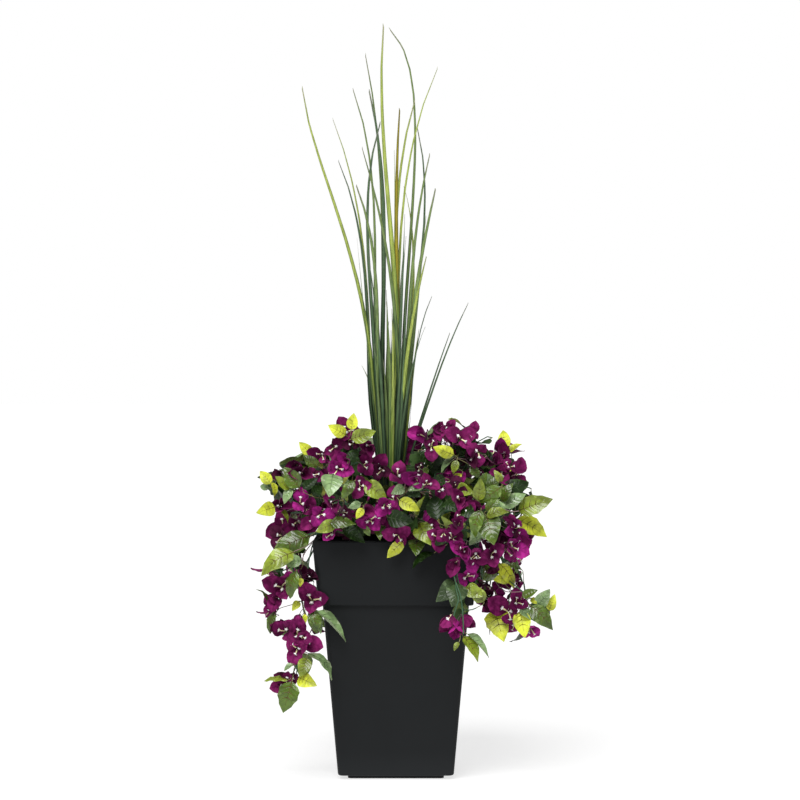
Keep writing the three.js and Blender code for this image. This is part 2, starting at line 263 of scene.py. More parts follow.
def sidesAlong(points, side, twist=0.0):
    # a width direction at each point, carried along and turned by twist in all
    result = []
    for i in range(len(points)):
        ahead = aheadAt(points, i)
        side = square(ahead, side)
        turn = Quaternion(ahead.normalized(), twist * i / (len(points) - 1))
        result.append(turn @ side)
    return result


# node trees that make what repeats or follows a path


def startTree(name, sockets):
    tree = bpy.data.node_groups.new(name, "GeometryNodeTree")
    tree.interface.new_socket("Geometry", in_out="OUTPUT", socket_type="NodeSocketGeometry")
    for label, kind in [("Geometry", "Geometry"), *sockets]:
        tree.interface.new_socket(label, in_out="INPUT", socket_type="NodeSocket" + kind)
    return tree, put(tree, "NodeGroupInput").outputs, put(tree, "NodeGroupOutput").inputs


def named(tree, name, kind):
    node = put(tree, "GeometryNodeInputNamedAttribute", {"Name": name}, data_type=kind)
    return node.outputs["Attribute"]


def capture(tree, geometry, value, label):
    node = put(tree, "GeometryNodeCaptureAttribute", domain="POINT")
    node.capture_items.new("FLOAT", label)
    tree.links.new(geometry, node.inputs[0])
    tree.links.new(value, node.inputs[1])
    return node.outputs[0], node.outputs[1]


def endTree(tree, geometry, given, result):
    real = put(tree, "GeometryNodeRealizeInstances", {0: geometry}).outputs[0]
    values = {"Geometry": real, "Material": given["Material"]}
    tree.links.new(put(tree, "GeometryNodeSetMaterial", values).outputs[0], result[0])
    return tree


def makeSweepTree():
    # paths of edges, with a girth and a side at each point, become closed blades or tubes
    sockets = [("Corners", "Int"), ("Thin", "Float"), ("Fold", "Float"),
               ("Relief", "Float"), ("Relief scale", "Float"), ("Material", "Material")]
    tree, given, result = startTree("sweepAlongPaths", sockets)
    curve = put(tree, "GeometryNodeMeshToCurve", {"Mesh": given["Geometry"]}).outputs[0]
    factor = put(tree, "GeometryNodeSplineParameter").outputs["Factor"]
    curve, along = capture(tree, curve, factor, "along")
    side = named(tree, "side", "FLOAT_VECTOR")
    curve = put(tree, "GeometryNodeSetCurveNormal", {"Curve": curve, "Normal": side}, mode="FREE")
    ring = put(tree, "GeometryNodeCurvePrimitiveCircle",
               {"Resolution": given["Corners"], "Radius": 1.0}).outputs[0]
    place = put(tree, "GeometryNodeInputPosition").outputs[0]
    split = put(tree, "ShaderNodeSeparateXYZ", {0: place}).outputs
    sideways = maths(tree, "ABSOLUTE", split[0])
    ring, across = capture(tree, ring, sideways, "across")
    thin = maths(tree, "MULTIPLY", split[1], given["Thin"])
    bent = maths(tree, "MULTIPLY_ADD", sideways, given["Fold"], thin)
    shaped = put(tree, "ShaderNodeCombineXYZ", {0: split[0], 1: bent}).outputs[0]
    ring = put(tree, "GeometryNodeSetPosition", {"Geometry": ring, "Position": shaped}).outputs[0]
    swept = put(tree, "GeometryNodeCurveToMesh",
                {"Curve": curve.outputs[0], "Profile Curve": ring,
                 "Scale": named(tree, "girth", "FLOAT"), "Fill Caps": True}).outputs[0]
    noise = put(tree, "ShaderNodeTexNoise",
                {"Scale": given["Relief scale"], "Detail": 2.0}).outputs["Fac"]
    lift = maths(tree, "MULTIPLY", maths(tree, "SUBTRACT", noise, 0.5), given["Relief"])
    normal = put(tree, "GeometryNodeInputNormal").outputs[0]
    offset = put(tree, "ShaderNodeVectorMath", {0: normal, "Scale": lift},
                 operation="SCALE").outputs[0]
    swept = put(tree, "GeometryNodeSetPosition", {"Geometry": swept, "Offset": offset}).outputs[0]
    flat = put(tree, "ShaderNodeCombineXYZ", {0: across, 1: along}).outputs[0]
    swept = put(tree, "GeometryNodeStoreNamedAttribute",
                {"Geometry": swept, "Name": "UVMap", "Value": flat},
                data_type="FLOAT2", domain="CORNER").outputs[0]
    swept = put(tree, "GeometryNodeSetShadeSmooth", {0: swept}).outputs[0]
    return endTree(tree, swept, given, result)


def makeScatterTree():
    # points with a facing, a size and a shape number become copies of a shape
    tree, given, result = startTree("setOutShapes", [("Shapes", "Collection"),
                                                     ("Material", "Material")])
    shapes = put(tree, "GeometryNodeCollectionInfo",
                 {"Collection": given["Shapes"], "Separate Children": True,
                  "Reset Children": True}).outputs[0]
    copies = put(tree, "GeometryNodeInstanceOnPoints",
                 {"Points": given["Geometry"], "Instance": shapes, "Pick Instance": True,
                  "Instance Index": named(tree, "shape", "INT"),
                  "Rotation": named(tree, "facing", "QUATERNION"),
                  "Scale": named(tree, "size", "FLOAT_VECTOR")}).outputs[0]
    return endTree(tree, copies, given, result)


sweepTree = makeSweepTree()
scatterTree = makeScatterTree()


def growMesh(name, mesh, tree, values):
    # the tree's result on mesh, as a plain mesh
    base = addObject(name, mesh)
    modifier = base.modifiers.new("grow", "NODES")
    modifier.node_group = tree
    for item in tree.interface.items_tree:
        if item.in_out == "INPUT" and item.name in values:
            modifier[item.identifier] = values[item.name]
    graph = bpy.context.evaluated_depsgraph_get()
    result = bpy.data.meshes.new_from_object(base.evaluated_get(graph))
    base.modifiers.remove(modifier)
    bpy.data.objects.remove(base)
    return result


def giveEach(mesh, name, kind, values):
    # a named value at each point
    field = "vector" if kind == "FLOAT_VECTOR" else "value"
    mesh.attributes.new(name, kind, "POINT").data.foreach_set(field, values)


def sweep(name, paths, material, corners, thin=1.0, fold=0.0, relief=0.0, reliefScale=300.0):
    # paths is a list of (points, half widths, width directions)
    verts, edges, girths, sides = [], [], [], []
    for points, halves, across in paths:
        first = len(verts)
        verts.extend(tuple(p) for p in points)
        girths.extend(halves)
        sides.extend(tuple(s) for s in across)
        edges.extend((first + i, first + i + 1) for i in range(len(points) - 1))
    mesh = bpy.data.meshes.new(name)
    mesh.from_pydata(verts, edges, [])
    giveEach(mesh, "girth", "FLOAT", girths)
    giveEach(mesh, "side", "FLOAT_VECTOR", np.ravel(sides))
    values = {"Corners": corners, "Thin": thin, "Fold": fold, "Relief": relief,
              "Relief scale": reliefScale, "Material": material}
    return growMesh(name, mesh, sweepTree, values)


def scatter(name, items, shapes, material):
    # items is a list of (place, quaternion, size, shape number)
    mesh = bpy.data.meshes.new(name)
    mesh.from_pydata([tuple(item[0]) for item in items], [], [])
    giveEach(mesh, "facing", "QUATERNION", [part for item in items for part in item[1]])
    giveEach(mesh, "size", "FLOAT_VECTOR", [part for item in items for part in item[2]])
    giveEach(mesh, "shape", "INT", [item[3] for item in items])
    return growMesh(name, mesh, scatterTree, {"Shapes": shapes, "Material": material})


# camera, light and floor

studio = {
    "eye": (0.0087, -5.0, 0.8025),   # metres
    "viewFocal": 2309.0,             # in pixels of the front view
    "skyLight": 0.32,                # the even light from all round
    "skyShown": 1.0,                 # the plain white that shows behind
    "sunStrength": 3.35,
    "sunAngle": 40.0,                # degrees across, for soft shadows
    "sunFrom": (-0.7, -2.1, 3.1),
    "fillPower": 10.0,
    "fillSize": 2.0,
    "fillFrom": (2.6, -2.6, 1.6),
    "lampsAim": (0, 0, 0.6),
    "floorColour": (0.34, 0.34, 0.34, 1.0),
    "floorGlow": 0.70,               # keeps the shadow faint
    "floorReach": 400.0,
    "sensorWidth": 36.0,             # millimetres
}
viewSize = 800                       # pixels across


def makeStudio():
    lens = bpy.data.cameras.new("camera")
    lens.sensor_width = studio["sensorWidth"]
    lens.lens = studio["viewFocal"] / viewSize * lens.sensor_width
    camera = addObject("camera", lens)
    camera.location = studio["eye"]
    camera.rotation_euler = (math.pi / 2, 0, 0)
    scene.camera = camera
    world = bpy.data.worlds.new("studio")
    world.use_nodes = True
    tree = world.node_tree
    sky = tree.nodes["Background"]
    sky.inputs[0].default_value = (1, 1, 1, 1)
    straight = put(tree, "ShaderNodeLightPath").outputs["Is Camera Ray"]
    dim = studio["skyLight"]
    level = maths(tree, "MULTIPLY_ADD", straight, studio["skyShown"] - dim, dim)
    tree.links.new(level, sky.inputs[1])
    scene.world = world
    scene.view_settings.view_transform = "Standard"
    sun = bpy.data.lights.new("softSun", "SUN")
    sun.energy = studio["sunStrength"]
    sun.angle = math.radians(studio["sunAngle"])
    fillLamp = bpy.data.lights.new("fillLight", "AREA")
    fillLamp.shape = "DISK"
    fillLamp.size = studio["fillSize"]
    fillLamp.energy = studio["fillPower"]
    for lamp, place in ((sun, studio["sunFrom"]), (fillLamp, studio["fillFrom"])):
        holder = addObject(lamp.name, lamp)
        holder.location = place
        aim = Vector(studio["lampsAim"]) - holder.location
        holder.rotation_euler = aim.to_track_quat("-Z", "Y").to_euler()
    material, _, shader, _ = newMaterial("paleFloor", 0.85, 0.2)
    shader.inputs["Base Color"].default_value = studio["floorColour"]
    shader.inputs["Emission Color"].default_value = (1, 1, 1, 1)
    shader.inputs["Emission Strength"].default_value = studio["floorGlow"]
    reach = studio["floorReach"]
    corners = [(reach * x, reach * y, 0) for x, y in ((-1, -1), (1, -1), (1, 1), (-1, 1))]
    floor = addObject("floor", meshOf("floor", corners, [(0, 1, 2, 3)], material))
    print("studio ready")


makeStudio()

# tub

tub = {
    "height": 0.508,
    "footHeight": 0.008,
    "footHalf": 0.102,
    "baseHalf": 0.1225,
    "wallTopHalf": 0.154,
    "bandHeight": 0.137,
    "bandBottomHalf": 0.163,
    "bandTopHalf": 0.1755,
    "cornerRadius": 0.014,
    "edgeRound": 0.005,
    "lipWidth": 0.013,
    "lipDepth": 0.009,
    "wall": 0.005,
    "floor": 0.014,
    "cornerSteps": 6,
    "edgeSteps": 4,
    "footRim": 0.012,
    "floorMiddle": 0.03,
    "crease": 0.001,           # small roundings of the outline's corners
    "bandCrease": 0.002,
    "lipRound": 0.003,
    "floorRound": 0.004,
    "colour": screenColour(19, 21, 22),
    # paler colour of a random mottle, and of the painted light towards the foot
    "paleMottleAndLitColour": screenColour(38, 40, 42),
    "litFootHeight": 0.06,       # of the foot's painted light, which makes it lighter
    "roughness": (0.46, 0.6),
    "grainScale": 900.0,
    "grainDepth": 0.0004,
}


def tubHalf(z):
    # half width of the outside at height z
    bandFoot = tub["height"] - tub["bandHeight"]
    if z < bandFoot:
        share = (z - tub["footHeight"]) / (bandFoot - tub["footHeight"])
        return tub["baseHalf"] + (tub["wallTopHalf"] - tub["baseHalf"]) * share
    share = (z - bandFoot) / tub["bandHeight"]
    return tub["bandBottomHalf"] + (tub["bandTopHalf"] - tub["bandBottomHalf"]) * share


def roundedProfile(points, steps):
    # (half, z, rounding) corners to a finer list with each corner rounded
    result = []
    for i, (half, z, rounding) in enumerate(points):
        here = Vector((half, z))
        if rounding <= 0 or i in (0, len(points) - 1):
            result.append(here)
            continue
        back = Vector(points[i - 1][:2]) - here
        ahead = Vector(points[i + 1][:2]) - here
        reach = min(rounding, back.length * 0.45, ahead.length * 0.45)
        first = here + back.normalized() * reach
        last = here + ahead.normalized() * reach
        for k in range(steps + 1):
            t = k / steps
            result.append(first * (1 - t) ** 2 + here * 2 * t * (1 - t) + last * t * t)
    return result


def squareRing(half, z, corner):
    corner = max(min(corner, half * 0.9), 0.0004)
    ring = []
    for quarter in range(4):
        middle = Vector((half - corner, half - corner))
        for k in range(tub["cornerSteps"] + 1):
            angle = math.pi / 2 * k / tub["cornerSteps"]
            x = middle.x + corner * math.cos(angle)
            y = middle.y + corner * math.sin(angle)
            for _ in range(quarter):
                x, y = -y, x
            ring.append((x, y, z))
    return ring


def tubMaterial():
    material, tree, shader, place = newMaterial("charcoalMoulding", 0.5, 0.12)
    cloud = noiseAt(tree, place, 5.0, 3.0, 0.6)
    grain = noiseAt(tree, place, tub["grainScale"], 2.0)
    height = put(tree, "ShaderNodeSeparateXYZ", {0: place}).outputs[2]
    # painted light: the colour goes lighter towards the foot, on top of the random mottle
    low = remap(tree, height, 0.0, tub["litFootHeight"], 0.35, 0.0)
    mottleAndFootLight = maths(tree, "MULTIPLY_ADD", cloud, 0.35, low)
    colour = mixColour(tree, mottleAndFootLight, tub["colour"], tub["paleMottleAndLitColour"])
    rough = remap(tree, cloud, 0.3, 0.7, *tub["roughness"])
    tree.links.new(rough, shader.inputs["Roughness"])
    colourAndBump(tree, shader, colour, grain, 0.25, tub["grainDepth"])
    return material


def makeTub():
    t = tub
    bandFoot = t["height"] - t["bandHeight"]
    inner = t["bandTopHalf"] - t["lipWidth"]
    lipFoot = t["height"] - t["lipDepth"]
    bandInner = t["bandTopHalf"] - t["wall"] - 0.001
    soft, crease, bandCrease = t["edgeRound"], t["crease"], t["bandCrease"]
    outline = roundedProfile([
        (t["footHalf"] - t["footRim"], 0.0, 0),
        (t["footHalf"], 0.0, crease),
        (t["footHalf"], t["footHeight"], crease),
        (t["baseHalf"], t["footHeight"], soft),
        (t["wallTopHalf"], bandFoot, bandCrease),
        (t["bandBottomHalf"], bandFoot, t["lipRound"]),
        (t["bandTopHalf"], t["height"], soft),
        (inner, t["height"], t["lipRound"]),
        (inner, lipFoot, crease),
        (bandInner, lipFoot, crease),
        (t["bandBottomHalf"] - t["wall"], bandFoot + t["wall"], bandCrease),
        (t["wallTopHalf"] - t["wall"], bandFoot + t["wall"], bandCrease),
        (t["baseHalf"] - t["wall"], t["floor"], t["floorRound"]),
        (t["floorMiddle"], t["floor"], 0),
    ], t["edgeSteps"])
    verts = []
    for half, z in outline:
        verts.extend(squareRing(half, z, t["cornerRadius"] * half / t["bandTopHalf"]))
    faces = ringFaces(len(outline), 4 * (t["cornerSteps"] + 1))
    mesh = meshOf("tubShell", verts, faces, tubMaterial())
    mesh.set_sharp_from_angle(angle=math.radians(40))
    addPiece("tubShell", mesh, ["tub"])


makeTub()
print("tub made")

# planting fill

fill = {
    "seed": 11,
    "crown": 0.010,            # how far the middle stands over the edge
    "bumpHeight": 0.009,
    "bumpWaves": (60, 240),    # per metre
    "bumps": 9,
    "sink": 0.006,             # of the edge under the node's top
    "room": 0.012,             # left beside the tub's wall
    "cornerReach": 1.33,
    "edgeShare": 0.97,
    "rings": 26,
    "perSide": 24,
    "mossColour": screenColour(74, 78, 44),
    "soilColour": screenColour(52, 40, 30),
    "darkest": (0.01, 0.012, 0.006, 1),
}


def fillMaterial():
    material, tree, shader, place = newMaterial("mossTop", 0.95, 0.1)
    fine = noiseAt(tree, place, 420.0, 4.0)
    share = remap(tree, noiseAt(tree, place, 28.0, 5.0), 0.42, 0.58)
    colour = mixColour(tree, share, fill["soilColour"], fill["mossColour"])
    colour = mixColour(tree, maths(tree, "MULTIPLY", fine, 0.6), colour, fill["darkest"])
    colourAndBump(tree, shader, colour, fine, 0.9, 0.003)
    return material


def makeFill():
    low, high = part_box("planting_fill")
    seed = random.Random(fill["seed"])
    count = 4 * fill["perSide"]
    waves = fill["bumpWaves"]
    phases = [(seed.uniform(*waves), seed.uniform(*waves), seed.uniform(0, 6))
              for _ in range(fill["bumps"])]

    def lump(x, y):
        total = sum(math.sin(x * a + y * b * 0.7 + c) * math.cos(y * a * 0.8 - c)
                    for a, b, c in phases)
        return total / len(phases)

    def ringAt(share, z=None):
        ring = []
        inside = min(high.x, tubHalf(high.z if z is None else z) - tub["wall"] - fill["room"])
        for k in range(count):
            angle = 2 * math.pi * k / count + math.pi / 4
            reach = inside * share / max(abs(math.cos(angle)), abs(math.sin(angle)))
            reach = min(reach, inside * share * fill["cornerReach"])
            x, y = reach * math.cos(angle), reach * math.sin(angle)
            level = high.z + fill["crown"] * (1 - share * share)
            level += fill["bumpHeight"] * lump(x, y) * (1 - share ** 6) - fill["sink"]
            ring.append((x, y, level if z is None else z))
        return ring

    verts = []
    for i in range(fill["rings"]):
        verts.extend(ringAt(fill["edgeShare"] * (i + 1) / fill["rings"]))
    bandFoot = tub["height"] - tub["bandHeight"]
    for z in (bandFoot + 0.012, bandFoot - 0.01, low.z + 0.004):
        verts.extend(ringAt(fill["edgeShare"], z))
    faces = ringFaces(fill["rings"] + 3, count, flip=True)
    addPiece("mossFill", meshOf("mossFill", verts, faces, fillMaterial()),
             ["planting_fill"])


makeFill()
print("fill made")

# grass

grass = {
    "seed": 5,
    "footZ": 0.478,
    "tuftTopZ": 0.840,
    "footShare": 0.15,        # of a blade's place across the tuft, at its foot
    "steps": 22,
    "halfWidth": 0.0056,      # of the added blades
    "leastHalf": 0.0004,
    "thin": 0.10,
    "fold": 0.42,
    "shortBlades": 26,
    "shortTops": (0.84, 1.12),
    "widen": 1.15,
    "widenThin": 0.85,
    "streakScale": 420.0,
    "ridges": 26.0,           # across a blade
    "ridgeDepth": 0.0006,
    "limeBlades": (1, 2, 7, 9, 10, 15),
    "deepBlades": (3, 6, 12, 16, 17, 18, 19),
    "goldBlades": (11,),
    "thinBlades": (17, 18),
}
# further thin blades: x and z of the tip, how far it leans back, and the curl if it has one
addedBlades = (
    (0.065, 1.201, -0.02), (0.063, 0.960, -0.05), (-0.004, 1.347, 0.02), (-0.084, 1.153, -0.03),
    (0.017, 1.270, 0.04, -0.25), (0.019, 1.203, -0.03), (0.022, 1.162, 0.05),
    (-0.052, 1.168, 0.03), (-0.061, 1.119, -0.05), (0.039, 0.956, 0.04),
)
bladeTints = {
    # foot, middle, upper, tip and stripe colours
    "Deep": ((19, 34, 21), (44, 66, 43), (92, 116, 84), (160, 156, 146), (96, 128, 84)),
    "Mid": ((24, 42, 24), (58, 84, 46), (128, 150, 92), (168, 162, 148), (134, 160, 88)),
    "Lime": ((46, 72, 28), (118, 144, 58), (176, 192, 92), (172, 166, 140), (190, 204, 104)),
    "Gold": ((30, 40, 18), (94, 92, 20), (142, 134, 34), (120, 108, 60), (176, 158, 40)),
}


def bladeMaterial(name, tints):
    material, tree, shader, place = newMaterial(name, 0.48, 0.35)
    foot, middle, upper, tip, stripe = [screenColour(*tint) for tint in tints]
    flat = put(tree, "ShaderNodeUVMap", uv_map="UVMap").outputs[0]
    across, along, _ = put(tree, "ShaderNodeSeparateXYZ", {0: flat}).outputs
    drawn = put(tree, "ShaderNodeMapping", {"Vector": place, "Scale": (1.0, 1.0, 0.04)}).outputs[0]
    streak = noiseAt(tree, drawn, grass["streakScale"], 3.0)
    ramp = put(tree, "ShaderNodeValToRGB")
    stops = ramp.color_ramp.elements
    stops[0].position, stops[0].color = 0.05, foot
    stops[1].position, stops[1].color = 1.0, tip
    for position, colour in ((0.2, foot), (0.45, middle), (0.7, upper), (0.93, upper)):
        stops.new(position).color = colour
    shifted = maths(tree, "MULTIPLY_ADD", streak, 0.22, maths(tree, "SUBTRACT", along, 0.11))
    tree.links.new(shifted, ramp.inputs[0])
    share = maths(tree, "MULTIPLY", remap(tree, across, 0.12, 0.42, 1.0, 0.0),
                  remap(tree, along, 0.15, 0.5, 0.2, 0.75))
    colour = mixColour(tree, share, ramp.outputs[0], stripe)
    colour = mixColour(tree, remap(tree, streak, 0.35, 0.65, 0.45, 0.0), colour, foot)
    ridges = maths(tree, "SINE", maths(tree, "MULTIPLY", across, grass["ridges"]))
    colourAndBump(tree, shader, colour, ridges, 0.5, grass["ridgeDepth"])
    return material


def taperedHalf(half, t):
    # a blade's half width: narrow at the foot, full from there, a hair at the tip
    rise = min(1.0, 0.62 + t * 1.6)
    return max(half * rise * (1 - max(0.0, (t - 0.35) / 0.65) ** 1.5), grass["leastHalf"])


tuftLow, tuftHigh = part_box("grass_tuft")
tuftX, tuftY = (tuftLow.x + tuftHigh.x) / 2, (tuftLow.y + tuftHigh.y) / 2
tuftHalfX, tuftHalfY = (tuftHigh.x - tuftLow.x) / 2, (tuftHigh.y - tuftLow.y) / 2


def makeGrass():
    seed = random.Random(grass["seed"])
    middle, spread = Vector((tuftX, tuftY, 0)), Vector((tuftHalfX, tuftHalfY, 0))
    paths = {tint: [] for tint in bladeTints}

    def footOf(root):
        return Vector((middle.x + (root.x - middle.x) * grass["footShare"],
                       middle.y + (root.y - middle.y) * grass["footShare"], grass["footZ"]))

    def keep(tint, points, halves):
        angle = seed.uniform(-0.65, 0.65)
        side = Vector((math.cos(angle), math.sin(angle), 0))
        twist = seed.uniform(-0.8, 0.8)
        paths[tint].append((points, halves, sidesAlong(points, side, twist)))

    for name in grassNodes:
        if name == "grass_tuft":
            continue
        number = int(name.split("_")[-1])
        spine, halves = centreline(name, grass["steps"], up, 2.0)
        root = spine[0]
        leaving = (spine[1] - spine[0]).normalized() * (root.z - grass["footZ"])
        lower = hermite(footOf(root), root, Vector((0, 0, leaving.length)), leaving, 8)[:-1]
        widen = grass["widenThin"] if number in grass["thinBlades"] else grass["widen"]
        halves = [half * widen for half in halves]
        rootHalf = max(halves[1], 0.0018)
        full = [rootHalf * (0.7 + 0.3 * i / len(lower)) for i in range(len(lower))]
        full += [max(min(half, rootHalf * 1.1), grass["leastHalf"]) for half in halves]
        marked = [tint for tint in ("Lime", "Deep", "Gold")
                  if number in grass[tint.lower() + "Blades"]]
        keep(marked[0] if marked else "Mid", lower + spine, full)

    def addBlade(root, tip, tint, half, curl):
        foot = footOf(root)
        rise = tip.z - foot.z
        ahead = (root - foot).normalized() * rise * 0.9
        bent = Vector((curl * rise, 0, -abs(curl) * rise * 0.5))
        arrive = (tip - root).normalized() * rise * 0.8 + bent
        points = hermite(foot, tip, Vector((ahead.x, ahead.y, rise * 0.9)), arrive, grass["steps"])
        count = grass["steps"] - 1
        keep(tint, points, [taperedHalf(half, i / count) for i in range(count + 1)])

    for tipX, tipZ, depth, *curls in addedBlades:
        rootX = middle.x + max(-0.8, min(0.8, (tipX - middle.x) / 0.12)) * spread.x
        root = Vector((rootX, middle.y + depth * 0.6, grass["tuftTopZ"]))
        curl = curls[0] if curls else seed.uniform(-0.08, 0.08)
        tint = seed.choice(["Mid", "Lime", "Deep"])
        addBlade(root, Vector((tipX, middle.y + depth, tipZ)), tint,
                 grass["halfWidth"] * seed.uniform(0.6, 0.9), curl)
    for i in range(grass["shortBlades"]):
        angle = 2.4 * i
        reach = math.sqrt((i + 0.5) / grass["shortBlades"])
        root = Vector((middle.x + spread.x * reach * math.cos(angle) * 0.92,
                       middle.y + spread.y * reach * math.sin(angle) * 0.92, grass["tuftTopZ"]))
        tip = Vector((root.x + (root.x - middle.x) * 0.3 + seed.uniform(-0.012, 0.012),
                      root.y + (root.y - middle.y) * 0.5, seed.uniform(*grass["shortTops"])))
        tint = seed.choice(["Deep", "Deep", "Mid", "Mid", "Lime"])
        half = grass["halfWidth"] * seed.uniform(0.8, 1.1)
        addBlade(root, tip, tint, half, seed.uniform(-0.06, 0.06))
    for tint, found in paths.items():
        material = bladeMaterial("grass" + tint, bladeTints[tint])
        mesh = sweep("grass" + tint, found, material, 8, grass["thin"], grass["fold"])
        replaced = grassNodes if tint == "Deep" else [n for n in grassNodes if n != "grass_tuft"]
        addPiece("grass" + tint, mesh, replaced)


makeGrass()
print("grass made")

# leaf and flower shapes

leafShape = {
    "rows": 8,
    "columns": 4,
    "thickness": 0.004,      # of the leaf's length
    "veinHeight": 0.011,
    "midribWidth": 0.020,
    "midribReach": 6,        # in rows
    "sideVeinWidth": 0.011,
    "sideVeinReach": 0.62,   # of the way out to the edge
    "veinPairs": 3,
    "firstPair": 0.16,       # of the way along
    "pairStep": 0.17,
    "leastHalf": 0.005,
}
leafLooks = (
    # arch of the spine, fold up of the two halves, ripple and teeth of the edge, twist
    {"arch": 0.10, "fold": 0.16, "ripple": 0.016, "tooth": 0.0, "twist": 0.10},
    {"arch": 0.18, "fold": 0.05, "ripple": 0.026, "tooth": 0.0, "twist": -0.18},
    {"arch": 0.03, "fold": 0.26, "ripple": 0.010, "tooth": 0.0, "twist": 0.05},
    {"arch": 0.14, "fold": -0.10, "ripple": 0.030, "tooth": 0.0, "twist": 0.22},
    {"arch": 0.08, "fold": 0.14, "ripple": 0.012, "tooth": 0.06, "twist": 0.0},
)


def leafOutline(t):
    return max(math.sin(math.pi * min(t, 1.0) ** 0.68), 0.0) ** 0.86


def leafSurface(look, s, t):
    # s from -1 to 1 across, t from 0 to 1 along; width and length are 1
    tooth = look["tooth"] * math.cos(math.pi * leafShape["rows"] * t)
    half = 0.5 * leafOutline(t) * (1 + tooth) + leafShape["leastHalf"]
    x = s * half
    z = look["arch"] * math.sin(math.pi * t) + look["fold"] * abs(x)
    z += look["ripple"] * s * s * math.sin(15 * t + 2.5 * s)
    z += look["twist"] * x * (t - 0.4)
    return Vector((x, t, z))


def onSheet(look, s, t):
    # the place on the flat-faced sheet itself, so that a vein lies on it
    rows, columns = leafShape["rows"], leafShape["columns"]
    row = min(int(t * rows), rows - 1)
    column = min(int((s + 1) / 2 * columns), columns - 1)
    low, high = row / rows, (row + 1) / rows
    left, right = 2 * column / columns - 1, 2 * (column + 1) / columns - 1
    u, v = (s - left) / (right - left), (t - low) / (high - low)
    near = leafSurface(look, left, low).lerp(leafSurface(look, right, low), u)
    far = leafSurface(look, left, high).lerp(leafSurface(look, right, high), u)
    return near.lerp(far, v)


def sheetFaces(rows, columns, first, flip):
    faces = []
    for i in range(rows):
        for k in range(columns):
            a = first + i * (columns + 1) + k
            face = (a, a + 1, a + columns + 2, a + columns + 1)
            faces.append(tuple(reversed(face)) if flip else face)
    return faces


def leafSheet(look, upper):
    rows, columns = leafShape["rows"], leafShape["columns"]
    verts, uvs = [], []
    for i in range(rows + 1):
        t = i / rows
        for k in range(columns + 1):
            s = 2 * k / columns - 1
            inside = 0 < i < rows and 0 < k < columns
            point = leafSurface(look, s, t)
            point.z += (leafShape["thickness"] if inside else 0.0) * (1 if upper else -1)
            verts.append(point)
            uvs.append((k / columns, t))
    return verts, sheetFaces(rows, columns, 0, not upper), uvs


def addRidge(verts, faces, points, widths, height):
    # a low three-sided ridge that lies along points
    first = len(verts)
    for i, point in enumerate(points):
        ahead = aheadAt(points, i)
        across = square(ahead, up.cross(ahead)) * widths[i]
        rise = height * (1 - 0.6 * i / (len(points) - 1))
        verts.extend([point - across, point + Vector((0, 0, rise)), point + across])
    for i in range(len(points) - 1):
        a = first + 3 * i
        for one, two in ((0, 1), (1, 2), (2, 0)):
            faces.append((a + one, a + 3 + one, a + 3 + two, a + two))
    faces.append((first, first + 1, first + 2))
    last = first + 3 * (len(points) - 1)
    faces.append((last + 2, last + 1, last))


def leafVeins(look):
    verts, faces = [], []
    lift = Vector((0, 0, leafShape["thickness"]))
    rows, count, height = leafShape["rows"], leafShape["midribReach"], leafShape["veinHeight"]
    spine = [onSheet(look, 0, i / rows) + lift for i in range(count + 1)]
    widths = [leafShape["midribWidth"] * (1 - 0.8 * i / count) for i in range(count + 1)]
    addRidge(verts, faces, spine, widths, height)
    reach, thin, step = leafShape["sideVeinReach"], leafShape["sideVeinWidth"], leafShape["pairStep"]
    for pair in range(leafShape["veinPairs"]):
        start = leafShape["firstPair"] + step * pair
        for side in (-1, 1):
            course = [onSheet(look, side * s, start + step * s ** 1.3) + lift
                      for s in (0.0, reach * 0.5, reach)]
            addRidge(verts, faces, course, [thin, thin * 0.8, thin * 0.3], height * 0.8)
    return verts, faces


def collect(name, meshes):
    holder = bpy.data.collections.new(name)
    for i, mesh in enumerate(meshes):
        holder.objects.link(bpy.data.objects.new(f"{name}{i}", mesh))
    return holder


def makeLeafShapes():
    tops, backs, veins = [], [], []
    for look in leafLooks:
        for found, name, upper in ((tops, "leafTop", True), (backs, "leafBack", False)):
            verts, faces, uvs = leafSheet(look, upper)
            found.append(meshOf(name, verts, faces, uvs=uvs))
        veins.append(meshOf("leafVeins", *leafVeins(look)))
    return collect("leafTops", tops), collect("leafBacks", backs), collect("leafVeins", veins)


